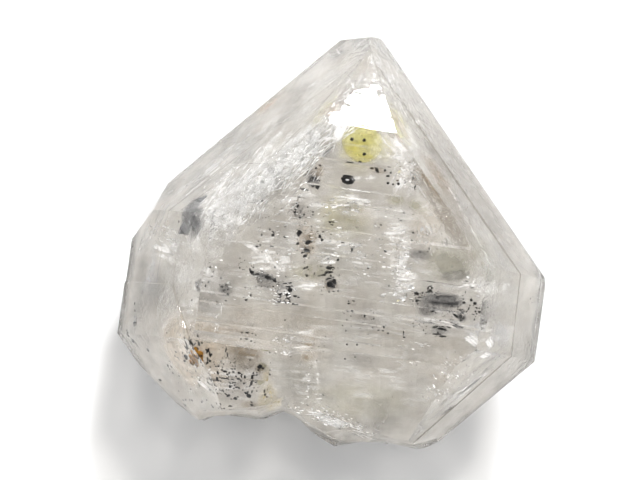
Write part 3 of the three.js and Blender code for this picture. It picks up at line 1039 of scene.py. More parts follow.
# %% Where the bitumen crumbs show
LOWER_LEFT = [
    (-10.35, -5.95, 0.10, 0.08, 8), (-9.88, -5.94, 0.13, 0.10, 8), (-9.81, -6.08, 0.14, 0.10, 8),
    (-9.49, -6.46, 0.26, 0.08, -42), (-9.26, -6.63, 0.26, 0.09, -47), (-8.66, -6.81, 0.21, 0.12, -32),
    (-8.73, -6.30, 0.09, 0.07, 8), (-7.81, -5.80, 0.09, 0.08, 0), (-6.73, -6.43, 0.26, 0.07, -52),
    (-6.65, -6.63, 0.21, 0.08, -62), (-6.66, -6.90, 0.31, 0.23, 68), (-6.69, -7.11, 0.21, 0.13, 28),
    (-6.55, -6.20, 0.21, 0.07, 88), (-6.53, -5.99, 0.31, 0.08, 88), (-6.37, -6.38, 0.21, 0.10, 93),
    (-6.22, -6.36, 0.13, 0.09, 88), (-6.36, -7.17, 0.13, 0.08, -22), (-7.07, -7.00, 0.21, 0.08, -2),
    (-7.23, -6.92, 0.10, 0.08, -52), (-6.85, -6.71, 0.16, 0.06, 48), (-7.52, -7.49, 0.13, 0.09, -62),
    (-7.37, -7.46, 0.10, 0.08, 98), (-7.18, -7.33, 0.10, 0.08, 8), (-7.40, -7.63, 0.08, 0.08, 0),
    (-7.21, -7.81, 0.12, 0.09, -32), (-6.86, -7.92, 0.14, 0.10, -42), (-6.81, -7.54, 0.10, 0.08, 8),
    (-6.49, -7.55, 0.09, 0.08, 0), (-7.78, -8.25, 0.11, 0.10, 0), (-6.78, -8.69, 0.10, 0.08, 8),
    (-6.48, -9.12, 0.10, 0.07, 8), (-6.15, -9.07, 0.11, 0.08, 98), (-6.02, -9.08, 0.09, 0.09, 0),
    (-5.50, -9.01, 0.16, 0.07, -12), (-4.98, -9.19, 0.17, 0.08, -57), (-4.56, -9.06, 0.13, 0.07, -52),
    (-4.32, -9.26, 0.09, 0.07, 8), (-6.37, -9.36, 0.21, 0.11, 18), (-5.63, -6.40, 0.16, 0.08, -32),
    (-5.45, -6.59, 0.26, 0.08, -74), (-5.73, -7.23, 0.10, 0.07, 38), (-6.03, -7.33, 0.18, 0.07, -67),
    (-6.05, -7.54, 0.16, 0.05, 88), (-5.81, -7.98, 0.13, 0.08, 93), (-5.78, -8.24, 0.21, 0.08, -72),
    (-6.05, -7.91, 0.10, 0.06, 8), (-6.19, -7.87, 0.08, 0.06, 8), (-5.40, -7.89, 0.10, 0.05, -52),
    (-5.17, -7.84, 0.16, 0.08, 98), (-5.03, -8.08, 0.23, 0.06, -42), (-4.92, -7.77, 0.14, 0.08, -62),
    (-4.83, -7.87, 0.10, 0.07, -12), (-5.26, -8.32, 0.08, 0.06, 8), (-4.56, -7.36, 0.21, 0.08, -7),
    (-4.41, -7.49, 0.10, 0.07, 8), (-4.32, -7.40, 0.08, 0.08, 0), (-4.48, -7.56, 0.07, 0.05, 8),
    (-4.12, -7.70, 0.10, 0.08, 8), (-3.96, -7.53, 0.08, 0.06, 8), (-3.81, -7.33, 0.16, 0.10, -12),
    (-3.68, -7.50, 0.13, 0.08, -52), (-3.49, -7.52, 0.10, 0.07, 8), (-3.67, -7.73, 0.08, 0.07, 48),
    (-4.18, -8.09, 0.14, 0.12, 98), (-3.95, -7.98, 0.10, 0.07, 48), (-3.84, -8.08, 0.13, 0.09, 8),
    (-3.72, -8.10, 0.13, 0.08, -52), (-3.98, -8.16, 0.10, 0.05, 38), (-4.53, -8.32, 0.10, 0.07, 8),
    (-4.35, -8.50, 0.16, 0.07, -37), (-4.18, -8.56, 0.12, 0.10, 8), (-4.81, -8.54, 0.14, 0.06, -12),
    (-4.69, -8.29, 0.08, 0.05, 38), (-3.86, -8.64, 0.18, 0.08, 33), (-3.71, -8.57, 0.10, 0.07, 8),
    (-4.03, -8.72, 0.09, 0.05, 8), (-3.32, -8.31, 0.16, 0.11, -42), (-3.18, -8.42, 0.23, 0.17, -62),
    (-3.23, -8.24, 0.10, 0.07, 8), (-3.03, -8.19, 0.16, 0.07, 88), (-3.11, -7.78, 0.26, 0.11, 93),
    (-3.17, -7.92, 0.16, 0.06, 68), (-3.09, -7.62, 0.10, 0.07, 88), (-3.05, -7.34, 0.16, 0.07, 8),
    (-2.89, -7.31, 0.12, 0.07, 28), (-2.80, -6.85, 0.21, 0.16, 28), (-2.64, -6.90, 0.12, 0.08, 8),
    (-2.85, -7.04, 0.11, 0.08, 8), (-2.23, -7.19, 0.12, 0.06, 98), (-2.26, -6.96, 0.08, 0.06, 98),
    (-2.39, -8.07, 0.18, 0.06, 88), (-2.32, -8.25, 0.13, 0.10, 8), (-2.78, -8.13, 0.07, 0.06, 8),
    (-2.22, -8.36, 0.08, 0.07, 0), (-2.93, -8.88, 0.16, 0.11, -42), (-2.82, -8.97, 0.12, 0.07, -32),
    (-3.69, -5.54, 0.16, 0.07, 8), (-3.42, -5.60, 0.08, 0.05, 8), (-3.23, -5.63, 0.08, 0.05, 8),
    (-3.97, -5.58, 0.09, 0.06, 8), (-3.35, -6.59, 0.09, 0.06, 68), (-2.39, -6.06, 0.08, 0.05, 98),
    (-4.66, -6.25, 0.21, 0.06, 88), (-4.55, -6.49, 0.21, 0.06, -77), (-4.91, -7.12, 0.10, 0.08, 8),
    (-4.72, -7.30, 0.10, 0.07, 8), (-4.63, -7.97, 0.07, 0.05, 8), (-3.50, -7.81, 0.08, 0.05, 8),
    (-3.50, -8.18, 0.07, 0.05, 8), (-3.84, -7.65, 0.07, 0.05, 8), (-2.91, -7.57, 0.07, 0.05, 8),
    (-2.95, -7.99, 0.07, 0.06, 8), (-3.32, -7.99, 0.07, 0.05, 8), (-4.00, -8.35, 0.07, 0.05, 8),
    (-7.53, -7.44, 0.13, 0.09, -52), (-7.31, -7.51, 0.10, 0.10, 8), (-7.04, -7.52, 0.16, 0.08, -42),
    (-6.90, -7.45, 0.10, 0.08, 8), (-7.83, -8.26, 0.16, 0.12, 8), (-7.45, -7.22, 0.10, 0.08, 38),
    (-6.35, -9.10, 0.10, 0.09, 8), (-6.05, -9.06, 0.11, 0.08, 8), (-5.52, -9.09, 0.16, 0.08, 28),
    (-5.28, -8.95, 0.09, 0.08, 8), (-4.92, -9.26, 0.16, 0.08, 18), (-4.51, -9.21, 0.18, 0.08, 8),
    (-5.78, -7.97, 0.13, 0.08, 8), (-5.19, -8.41, 0.12, 0.09, 8), (-4.91, -7.85, 0.12, 0.08, 48),
    (-6.57, -6.10, 0.47, 0.10, -72), (-5.58, -6.43, 0.26, 0.11, 68), (-5.40, -6.61, 0.16, 0.10, 48),
    (-6.05, -7.54, 0.12, 0.09, 8), (-5.73, -7.23, 0.10, 0.09, 8), (-4.23, -8.59, 0.11, 0.09, 8),
    (-3.80, -8.69, 0.13, 0.08, 8), (-7.21, -6.71, 0.10, 0.08, 8), (-6.20, -5.73, 0.16, 0.07, -72),
    (-6.68, -7.89, 0.10, 0.08, 8), (-6.18, -8.50, 0.11, 0.08, 8),
]
STREAK = [
    (-4.01, -1.95, 0.13, 0.08, 98), (-3.91, -2.14, 0.13, 0.08, -22), (-3.77, -2.20, 0.16, 0.08, 8),
    (-3.59, -2.14, 0.17, 0.07, 28), (-3.55, -2.28, 0.10, 0.05, 8), (-3.33, -2.17, 0.19, 0.10, 18),
    (-3.14, -2.19, 0.23, 0.14, -7), (-3.05, -2.09, 0.10, 0.07, 8), (-2.92, -2.27, 0.18, 0.10, -12),
    (-2.71, -2.31, 0.16, 0.10, -2), (-2.83, -2.15, 0.08, 0.05, 8), (-2.12, -2.41, 0.19, 0.06, 8),
    (-1.86, -2.35, 0.16, 0.06, 8), (-1.94, -2.54, 0.21, 0.07, 3), (-1.81, -2.73, 0.17, 0.15, 0),
    (-1.93, -2.99, 0.19, 0.08, 88), (-1.83, -3.17, 0.18, 0.09, -12), (-2.28, -3.12, 0.13, 0.10, 8),
    (-2.30, -3.37, 0.16, 0.07, 8), (-2.04, -3.32, 0.11, 0.07, 8), (-1.74, -3.28, 0.09, 0.07, 8),
    (-1.51, -3.42, 0.18, 0.08, 8), (-1.33, -3.39, 0.10, 0.06, 8), (-1.74, -2.49, 0.08, 0.05, 8),
    (-5.30, -3.06, 0.16, 0.10, -22), (-5.20, -3.20, 0.16, 0.09, 8), (-5.00, -3.13, 0.10, 0.08, 8),
    (-5.13, -2.92, 0.10, 0.06, 68), (-4.96, -3.38, 0.13, 0.08, -22), (-5.02, -3.74, 0.12, 0.06, 8),
    (-5.44, -2.96, 0.08, 0.05, 8), (-3.98, -3.53, 0.14, 0.10, 8), (-3.82, -2.94, 0.09, 0.07, 8),
    (-3.78, -3.25, 0.11, 0.07, 98), (-4.12, -3.40, 0.07, 0.05, 8), (-6.77, -3.93, 0.12, 0.09, 98),
    (-6.74, -2.59, 0.13, 0.07, 98), (-7.04, -2.35, 0.08, 0.07, 0), (-7.22, -2.17, 0.11, 0.06, 68),
    (-7.79, -2.95, 0.08, 0.06, 8), (-6.12, -1.85, 0.10, 0.07, 98), (-6.06, -2.11, 0.10, 0.08, 98),
    (-5.89, -2.55, 0.10, 0.07, 58), (-6.05, -2.89, 0.10, 0.06, 68), (-6.17, -3.12, 0.10, 0.07, 98),
    (-6.38, -2.94, 0.07, 0.05, 8), (-3.82, -0.71, 0.13, 0.09, 8), (-3.66, -0.62, 0.13, 0.08, 98),
    (-3.78, -0.43, 0.07, 0.07, 0), (-3.52, -0.97, 0.08, 0.05, 8), (-9.66, -4.52, 0.16, 0.08, 98),
    (-9.61, -4.90, 0.13, 0.09, 98), (-9.59, -5.22, 0.10, 0.07, 98), (-9.52, -5.52, 0.20, 0.18, 0),
    (-3.28, 0.25, 0.08, 0.08, 0), (-3.10, 0.14, 0.12, 0.06, -17), (-3.05, -0.04, 0.20, 0.07, -27),
    (-3.11, -0.59, 0.08, 0.06, -42), (-2.50, 0.51, 0.09, 0.06, 8), (-2.51, 0.01, 0.07, 0.05, 8),
]
COLUMNS = [
    (-2.28, 1.72, 0.12, 0.05, 8), (-2.08, 1.80, 0.11, 0.06, 8), (-2.12, 1.46, 0.10, 0.09, 0),
    (-1.81, 1.37, 0.09, 0.07, 68), (-1.18, 1.30, 0.11, 0.06, 8), (-1.49, 1.67, 0.07, 0.05, 8),
    (-1.82, 1.05, 0.06, 0.05, 8), (-1.62, 0.71, 0.08, 0.05, 8), (-1.81, 0.40, 0.16, 0.08, -12),
    (-1.65, 0.27, 0.11, 0.10, 0), (-1.75, 0.15, 0.16, 0.08, 58), (-1.80, -0.04, 0.08, 0.05, 8),
    (-1.75, -0.30, 0.14, 0.08, 18), (-1.34, -0.11, 0.16, 0.05, 8), (-1.19, -0.11, 0.08, 0.05, 8),
    (-1.31, -0.37, 0.11, 0.06, 8), (-1.20, -0.59, 0.21, 0.11, 8), (-1.06, -0.64, 0.09, 0.07, 8),
    (-1.36, -0.53, 0.08, 0.05, 8), (-1.25, -0.78, 0.16, 0.06, 28), (-1.31, -0.90, 0.14, 0.06, 8),
    (-1.07, -0.91, 0.06, 0.05, 8), (-1.25, -1.52, 0.09, 0.06, 8), (-1.08, -1.41, 0.08, 0.07, 0),
    (-1.02, -1.52, 0.07, 0.06, 8), (-1.29, -1.23, 0.07, 0.05, 8), (-1.08, -1.82, 0.16, 0.05, 8),
    (-0.68, 0.29, 0.11, 0.10, 0), (-0.57, 0.13, 0.08, 0.08, 0), (-0.85, 0.46, 0.12, 0.05, 8),
    (-0.54, 0.50, 0.10, 0.05, 8), (-1.18, 0.20, 0.10, 0.04, 8), (-0.11, 0.43, 0.06, 0.05, 8),
    (-0.08, 1.10, 0.19, 0.08, 8), (-0.13, 0.91, 0.14, 0.07, 8), (-0.05, -1.29, 0.19, 0.07, 20),
    (0.11, -1.17, 0.10, 0.05, 8), (0.24, -1.36, 0.08, 0.07, 0), (-0.05, -1.49, 0.19, 0.05, 8),
    (0.24, -1.51, 0.09, 0.06, 68), (-0.22, -1.70, 0.16, 0.08, 18), (0.19, -1.70, 0.11, 0.07, 98),
    (0.32, -1.73, 0.07, 0.06, 8), (-0.40, -1.75, 0.08, 0.05, 8), (0.01, -1.91, 0.13, 0.06, 8),
    (0.08, -2.08, 0.11, 0.10, 0), (0.25, -1.97, 0.16, 0.08, 8), (0.45, -2.05, 0.16, 0.08, -12),
    (0.25, -2.19, 0.16, 0.07, 8), (0.45, -2.26, 0.11, 0.07, 8), (0.13, -2.26, 0.09, 0.06, 8),
    (0.43, -2.47, 0.14, 0.05, 8), (0.66, -2.44, 0.08, 0.06, 98), (-0.14, -2.70, 0.13, 0.04, 8),
    (0.42, -0.80, 0.08, 0.07, 0), (-0.06, -0.85, 0.06, 0.06, 0), (1.06, -0.14, 0.10, 0.08, 8),
    (1.06, -0.32, 0.11, 0.05, 8), (1.40, 0.07, 0.10, 0.07, 98), (1.52, -3.35, 0.13, 0.05, 8),
    (1.28, -3.36, 0.07, 0.05, 8), (1.50, -3.61, 0.06, 0.06, 0), (1.60, -4.11, 0.08, 0.07, 0),
    (2.19, -3.51, 0.11, 0.07, 98), (2.16, -3.83, 0.05, 0.05, 0), (2.71, -4.03, 0.10, 0.07, 8),
    (3.01, -4.12, 0.10, 0.07, 8), (3.26, -3.93, 0.12, 0.08, -42), (3.24, -4.12, 0.10, 0.05, 8),
    (3.52, -4.21, 0.12, 0.04, 8), (3.34, -3.66, 0.11, 0.04, 8), (4.31, -4.10, 0.17, 0.06, 98),
    (4.38, -4.30, 0.14, 0.06, -2), (2.80, -0.04, 0.12, 0.05, 8), (2.05, -0.98, 0.08, 0.06, 98),
    (3.23, -1.79, 0.09, 0.05, 8), (3.63, -1.50, 0.08, 0.06, 58), (-2.75, -1.64, 0.09, 0.09, 0),
    (-2.12, -2.05, 0.08, 0.06, 98), (-1.85, -4.29, 0.08, 0.05, 8), (1.50, -5.09, 0.10, 0.08, 8),
    (2.02, -5.05, 0.08, 0.07, 0), (3.35, 2.22, 0.17, 0.05, 13), (3.95, 2.04, 0.12, 0.06, 28),
    (2.77, 2.22, 0.07, 0.04, 8),
]
RIGHT_DRIFT = [
    (4.67, -1.96, 0.17, 0.09, 8), (4.88, -2.16, 0.21, 0.06, 8), (4.78, -2.36, 0.17, 0.09, 33),
    (5.00, -1.91, 0.13, 0.08, 88), (4.61, -2.10, 0.07, 0.05, 8), (5.34, -1.52, 0.18, 0.08, 38),
    (5.45, -1.59, 0.11, 0.09, 8), (5.25, -1.64, 0.09, 0.08, 0), (5.23, -1.85, 0.14, 0.10, 8),
    (5.35, -1.81, 0.10, 0.06, 98), (5.46, -1.83, 0.06, 0.06, 0), (5.74, -1.81, 0.16, 0.06, -7),
    (5.92, -1.78, 0.10, 0.07, 8), (5.68, -2.10, 0.19, 0.09, 8), (5.93, -2.20, 0.19, 0.11, 8),
    (6.12, -2.07, 0.16, 0.08, 8), (6.34, -2.17, 0.18, 0.11, 8), (6.31, -1.94, 0.14, 0.08, -12),
    (6.54, -1.90, 0.21, 0.08, 8), (6.68, -1.99, 0.14, 0.10, 98), (6.54, -2.09, 0.12, 0.10, 8),
    (6.49, -2.27, 0.21, 0.11, 8), (6.63, -2.36, 0.09, 0.08, 98), (6.13, -2.33, 0.13, 0.08, 8),
    (5.65, -2.45, 0.12, 0.06, 8), (5.72, -2.59, 0.11, 0.08, 8), (5.67, -2.78, 0.12, 0.08, 8),
    (5.35, -2.33, 0.10, 0.05, 8), (5.48, -2.57, 0.09, 0.05, 8), (7.04, -2.51, 0.12, 0.06, -12),
    (7.18, -2.65, 0.14, 0.12, 8), (7.12, -2.84, 0.14, 0.13, 0), (7.28, -2.90, 0.12, 0.08, 98),
    (7.17, -3.04, 0.11, 0.08, 8), (6.91, -2.50, 0.09, 0.05, -12), (7.76, -2.06, 0.15, 0.15, 0),
    (7.70, -2.18, 0.06, 0.05, 8), (7.88, -2.29, 0.13, 0.08, -32), (8.03, -2.29, 0.08, 0.08, 0),
    (7.85, -2.48, 0.08, 0.07, 0), (8.05, -2.47, 0.13, 0.11, 8), (7.92, -2.60, 0.09, 0.08, 0),
    (8.06, -2.66, 0.09, 0.06, 8), (8.16, -2.49, 0.12, 0.06, 98), (7.89, -2.73, 0.05, 0.05, 0),
    (8.74, -1.94, 0.13, 0.11, 98), (8.37, -1.77, 0.08, 0.06, 8), (8.45, -1.95, 0.06, 0.05, 8),
    (8.43, -1.59, 0.07, 0.05, 98), (7.48, -2.38, 0.16, 0.06, 73), (7.40, -2.54, 0.09, 0.05, 58),
    (7.52, -2.20, 0.06, 0.05, 68), (6.07, -3.79, 0.08, 0.04, 8), (6.04, -3.90, 0.19, 0.07, 28),
    (6.31, -3.96, 0.13, 0.04, 8), (6.01, -4.05, 0.13, 0.04, 8), (6.18, -3.62, 0.19, 0.05, -2),
    (6.29, -3.49, 0.17, 0.05, -2), (6.41, -3.59, 0.08, 0.05, 8), (5.98, -3.52, 0.13, 0.04, 8),
    (6.12, -3.18, 0.12, 0.04, 28), (6.70, -3.22, 0.13, 0.05, -7), (6.89, -3.30, 0.17, 0.06, -32),
    (7.04, -3.40, 0.08, 0.04, -32), (6.55, 2.88, 0.18, 0.07, 112), (6.75, 2.73, 0.16, 0.06, 118),
    (6.84, 2.76, 0.18, 0.05, 108), (6.88, 2.54, 0.11, 0.05, 98), (6.66, 2.45, 0.09, 0.06, 8),
    (7.95, 1.98, 0.19, 0.06, -54), (8.09, 1.82, 0.12, 0.07, -52), (7.67, 1.60, 0.12, 0.10, 38),
    (7.69, 1.42, 0.10, 0.06, -32), (8.05, 0.92, 0.18, 0.11, 113), (5.04, 0.41, 0.10, 0.08, 68),
    (4.96, 0.25, 0.08, 0.06, 8), (4.58, 0.15, 0.11, 0.05, 8), (4.82, 0.10, 0.13, 0.04, -7),
    (5.43, 0.45, 0.06, 0.06, 0), (7.04, 1.25, 0.10, 0.06, -42), (6.54, 1.44, 0.07, 0.05, 8),
    (9.34, -0.88, 0.13, 0.08, 110), (9.14, -0.70, 0.06, 0.06, 0), (10.58, -1.41, 0.10, 0.07, 118),
    (10.68, -1.61, 0.10, 0.06, 8), (10.69, -1.32, 0.06, 0.06, 0), (9.86, -2.06, 0.26, 0.06, 76),
    (9.80, -2.44, 0.24, 0.04, 78), (9.81, -2.86, 0.08, 0.07, 0), (9.29, -2.48, 0.12, 0.07, 98),
    (8.93, -2.93, 0.07, 0.07, 0), (8.89, -3.72, 0.08, 0.06, 38), (9.04, -3.85, 0.08, 0.06, 98),
    (9.50, -3.89, 0.10, 0.06, 8), (9.48, -3.63, 0.08, 0.05, 8), (9.72, -3.70, 0.08, 0.05, 38),
    (9.41, -4.11, 0.09, 0.07, 8), (10.49, -1.71, 0.05, 0.05, 0),
]
UPPER = [
    (-7.85, 1.93, 0.13, 0.07, 98), (-8.04, 2.19, 0.10, 0.06, 8), (-6.90, 1.83, 0.09, 0.06, 58),
    (-6.43, 1.87, 0.07, 0.05, 8), (-5.91, 1.73, 0.07, 0.07, 0), (-4.33, 2.00, 0.08, 0.06, 98),
    (-6.15, 1.44, 0.07, 0.05, 98), (-6.29, 1.62, 0.06, 0.05, 8), (-5.66, 2.71, 0.08, 0.06, 98),
    (-5.77, 2.74, 0.06, 0.05, 8), (-6.98, 2.26, 0.07, 0.05, 8), (-7.20, 1.05, 0.08, 0.05, 8),
    (-3.89, 1.67, 0.10, 0.08, 8), (-4.74, 0.59, 0.05, 0.05, 0), (-8.02, -0.00, 0.13, 0.10, 78),
    (-7.85, 0.41, 0.12, 0.07, 38), (-7.70, 0.49, 0.10, 0.07, -22), (-7.49, 0.88, 0.10, 0.07, 48),
    (-7.05, 1.10, 0.09, 0.06, 8), (-7.63, 0.71, 0.08, 0.06, 8),
]
SHARDS = [
    (-1.33, 3.16, 0.31, 0.13, -12), (-1.57, 2.97, 0.26, 0.13, 18), (-1.13, 2.82, 0.26, 0.16, 78),
    (-1.88, 2.56, 0.26, 0.10, 3), (-1.66, 2.54, 0.16, 0.08, 8), (-1.18, 3.91, 0.13, 0.10, 8),
    (-1.75, 3.52, 0.21, 0.07, 38), (-1.87, 3.29, 0.21, 0.06, 48), (-1.36, 3.73, 0.12, 0.08, 8),
    (-1.38, 2.78, 0.16, 0.10, 8), (-1.54, 3.18, 0.16, 0.08, 68), (-1.12, 3.14, 0.12, 0.10, 8),
    (0.92, 5.51, 0.16, 0.14, 0), (1.02, 4.80, 0.16, 0.14, 0), (0.85, 4.35, 0.16, 0.14, 8),
    (0.28, 5.48, 0.16, 0.14, 8), (2.39, 3.84, 0.16, 0.10, 8), (2.44, 3.48, 0.13, 0.11, 8),
    (2.19, 4.12, 0.10, 0.08, 8), (1.78, 4.07, 0.26, 0.12, -52), (1.51, 4.13, 0.16, 0.08, 8),
    (2.51, 4.06, 0.10, 0.08, 8), (4.07, 4.49, 0.13, 0.13, 0), (3.96, 4.58, 0.10, 0.08, 8),
    (3.54, 4.21, 0.16, 0.06, 88), (3.68, 3.92, 0.16, 0.06, 88), (3.85, 3.47, 0.16, 0.06, 78),
    (6.30, -2.04, 0.52, 0.21, 3), (5.76, -2.33, 0.41, 0.16, 18), (6.58, -2.21, 0.26, 0.21, 68),
    (5.93, -1.99, 0.36, 0.12, 8), (5.37, -1.75, 0.21, 0.12, 8), (6.12, -2.28, 0.26, 0.10, 8),
    (-3.30, -2.16, 0.41, 0.13, -4), (-3.03, -2.23, 0.26, 0.16, -12), (-3.89, -2.06, 0.21, 0.12, -32),
    (-2.71, -2.29, 0.19, 0.11, 8), (-3.62, -2.13, 0.21, 0.10, 8), (0.19, -2.12, 0.26, 0.23, 0),
    (0.38, -1.93, 0.21, 0.16, 98), (-1.23, -0.56, 0.24, 0.16, 8), (-1.76, 0.27, 0.18, 0.18, 0),
    (-1.42, -0.67, 0.16, 0.10, 8), (0.13, -1.29, 0.31, 0.08, 18), (0.11, -1.55, 0.21, 0.08, 8),
    (-0.23, -1.71, 0.26, 0.09, 18), (0.36, -2.20, 0.16, 0.16, 0), (-3.16, -8.42, 0.26, 0.18, -62),
    (6.04, -3.92, 0.42, 0.10, 12), (6.25, -3.62, 0.40, 0.09, -4), (6.55, -3.45, 0.30, 0.08, -14),
    (5.90, -3.55, 0.26, 0.08, 20), (6.85, -3.35, 0.30, 0.09, -30), (6.35, -4.00, 0.30, 0.08, 5),
    (-3.30, -8.31, 0.18, 0.12, -42),
]
MIDDLE = [
    (-2.01, 1.65, 0.16, 0.10, 68), (-2.12, 1.32, 0.12, 0.10, 8), (-1.83, 1.10, 0.10, 0.08, 8),
    (-1.20, 1.45, 0.10, 0.07, 8), (-3.08, -0.01, 0.16, 0.10, 48), (-2.45, -0.03, 0.10, 0.08, 8),
    (-1.72, 0.33, 0.18, 0.13, 8), (-1.74, -0.24, 0.13, 0.10, 28), (-1.28, -0.18, 0.16, 0.10, 8),
    (-1.22, -0.59, 0.18, 0.12, 8), (-1.29, -0.86, 0.16, 0.08, 8), (-0.66, 0.22, 0.13, 0.10, 8),
    (-0.53, 0.08, 0.13, 0.10, 38), (-0.25, 1.06, 0.16, 0.08, 8), (-0.13, 0.92, 0.16, 0.07, 8),
    (-1.15, -1.47, 0.16, 0.07, 8), (-1.04, -1.87, 0.10, 0.07, 8), (-0.02, -1.31, 0.18, 0.07, 13),
    (-0.09, -1.58, 0.16, 0.07, 18), (0.16, -1.49, 0.16, 0.07, 8), (0.10, -1.82, 0.18, 0.07, 8),
    (0.19, -2.12, 0.21, 0.16, 8), (0.43, -0.83, 0.12, 0.08, 8), (1.08, -0.21, 0.13, 0.09, 88),
    (1.31, -3.37, 0.13, 0.07, 8), (1.52, -3.34, 0.10, 0.08, 8), (2.21, -3.45, 0.12, 0.10, 78),
    (-1.81, -2.71, 0.21, 0.21, 8), (-2.25, -2.98, 0.16, 0.08, 48), (-1.93, -2.99, 0.16, 0.10, 8),
    (-1.51, -3.40, 0.16, 0.08, -12), (-2.29, -3.41, 0.13, 0.08, 8), (-2.65, -2.36, 0.16, 0.10, -22),
    (4.72, -2.00, 0.16, 0.10, 8), (4.77, -2.31, 0.16, 0.10, -12), (2.77, -0.03, 0.10, 0.07, 8),
    (2.03, -1.02, 0.10, 0.08, 8), (2.38, 1.28, 0.10, 0.08, 8), (3.47, 2.06, 0.12, 0.08, 8),
    (4.08, 0.73, 0.11, 0.08, 8),
]

# %% [markdown]
# Resin is bitumen that was baked less. Its grain lies next to an edge between two faces, which splits its
# image, so a few crumbs of resin lie close under the skin over it and carry its amber colour.

# %% Resin crumbs
WHITE = (1.0, 1.0, 1.0, 1.0)
RESIN_CRUMBS = [
    # across, along, length, width, turn
    (-6.34, -6.68, 0.36, 0.20, -62), (-6.20, -6.96, 0.56, 0.42, 68), (-6.32, -7.12, 0.36, 0.27, 28),
    (-6.08, -7.18, 0.32, 0.27, 8), (-6.42, -6.84, 0.32, 0.24, 48), (-6.14, -6.79, 0.32, 0.24, 8),
]
RESIN_DEPTH = 0.4
RESIN_THICKNESS = 0.6
RESIN_SWELL = 1.3

resin_points = []
for x, y, length, width, turn in RESIN_CRUMBS:
    half = Vector((length, width, width * RESIN_THICKNESS)) * MM / 2 * RESIN_SWELL
    resin_points.append((seen_at(x, y, RESIN_DEPTH), half, (0, 0, math.radians(turn)), WHITE))
resin_crumbs = scatter(
    "resin_crumbs", resin_points, "crumb", resin, Fineness=2, Roughen=0.7, Grain=7000.0, Seed=5.0
)

# %% [markdown]
# Each drift of bitumen lies on a crack of its own, which has a depth under the surface and dips to one side.
# A crumb is a little flatter than it is wide, and its ball is drawn larger than the crumb, because the
# roughening eats into it.

# %% Bitumen crumbs
CRACK_DEPTHS = [
    # drift, depth in the middle, dip across, dip along
    (LOWER_LEFT, 1.1, 0.02, 0.05),
    (STREAK, 3.0, -0.20, 0.15),
    (COLUMNS, 3.4, 0.15, 0.20),
    (RIGHT_DRIFT, 3.2, -0.15, 0.20),
    (UPPER, 2.2, 0.05, 0.10),
    (SHARDS, 2.7, 0.02, 0.02),
    (MIDDLE, 2.3, 0.05, 0.05),
]
CRUMB_LEAST_DEPTH = 0.5
CRUMB_SCATTER = 0.4
CRUMB_LEAN = 0.3
CRUMB_THICKNESS = 0.8
CRUMB_SWELL = 1.25

random.seed(11)
crumb_points = []
for drift, depth, dip_across, dip_along in CRACK_DEPTHS:
    middle_x = sum(c[0] for c in drift) / len(drift)
    middle_y = sum(c[1] for c in drift) / len(drift)
    for x, y, length, width, turn in drift:
        dip = dip_across * (x - middle_x) + dip_along * (y - middle_y)
        down = depth + dip + random.uniform(-CRUMB_SCATTER, CRUMB_SCATTER)
        place = seen_at(x, y, max(down, CRUMB_LEAST_DEPTH))
        if place is None:
            continue
        half = Vector((length, width, width * CRUMB_THICKNESS)) * MM / 2 * CRUMB_SWELL
        set_to = (random.uniform(-CRUMB_LEAN, CRUMB_LEAN), 0, math.radians(turn))
        crumb_points.append((place, half, set_to, WHITE))
crumbs = scatter("bitumen_crumbs", crumb_points, "crumb", bitumen, Fineness=2, Roughen=0.7, Grain=9000.0)

# %% [markdown]
# Between the crumbs hangs a fine black dust. Its grains are thrown at random inside ovals, thickest in the
# middle, with a fixed seed so that the stone comes out the same each time.

# %% Bitumen dust
DUST = [
    # across, along, half lengths of the oval, turn, depth, count
    (-4.9, -7.6, 2.2, 1.0, 10, 3.6, 50), (-5.3, -7.9, 1.3, 0.8, 0, 3.8, 50),
    (-7.4, -6.2, 1.3, 1.2, 0, 3.4, 16), (-3.6, -2.2, 1.6, 0.35, -28, 3.0, 46),
    (-2.2, -2.9, 0.6, 0.7, 0, 3.1, 30), (-1.5, 0.4, 0.7, 1.6, 8, 3.4, 46),
    (-0.1, -1.7, 0.6, 0.9, 8, 3.4, 36), (5.3, -2.2, 1.6, 0.6, 4, 3.2, 90), (6.5, -2.7, 0.8, 0.8, 8, 3.2, 34),
    (5.2, -3.6, 1.0, 0.5, 8, 3.2, 26), (-5.9, 2.3, 1.2, 1.0, 30, 2.2, 24), (-3.2, 0.8, 1.6, 1.2, 0, 3.0, 22),
    (2.4, -3.9, 1.4, 0.6, 8, 3.4, 18), (0.5, -5.0, 5.5, 3.4, 0, 4.4, 46), (2.0, 0.6, 5.2, 2.6, 0, 4.0, 34),
]
DUST_SPREAD = 0.5
DUST_SIZES = (0.014, 0.035)
DUST_LENGTHS = (1, 1.8)
DUST_THICKNESSES = (0.6, 1)
DUST_TURNS = (0.15, 0.6)
THICKENING = 0.7


def in_oval(middle_x, middle_y, half_x, half_y, turn):
    """A random place in an oval, thickest in the middle."""
    out = random.random() ** THICKENING
    way = random.uniform(0, 2 * math.pi)
    x = half_x * out * math.cos(way)
    y = half_y * out * math.sin(way)
    c, s = math.cos(math.radians(turn)), math.sin(math.radians(turn))
    return middle_x + x * c - y * s, middle_y + x * s + y * c


random.seed(12)
dust_points = []
for middle_x, middle_y, half_x, half_y, turn, depth, count in DUST:
    for _ in range(count):
        x, y = in_oval(middle_x, middle_y, half_x, half_y, turn)
        place = seen_at(x, y, depth + random.gauss(0, DUST_SPREAD))
        if place is None:
            continue
        half = random.uniform(*DUST_SIZES) * MM
        size = (half * random.uniform(*DUST_LENGTHS), half, half * random.uniform(*DUST_THICKNESSES))
        dust_points.append((place, size, (0, 0, random.gauss(*DUST_TURNS)), WHITE))
dust = scatter(
    "bitumen_dust", dust_points, "crumb", bitumen, Fineness=1, Roughen=0.6, Grain=14000.0, Seed=2.0
)

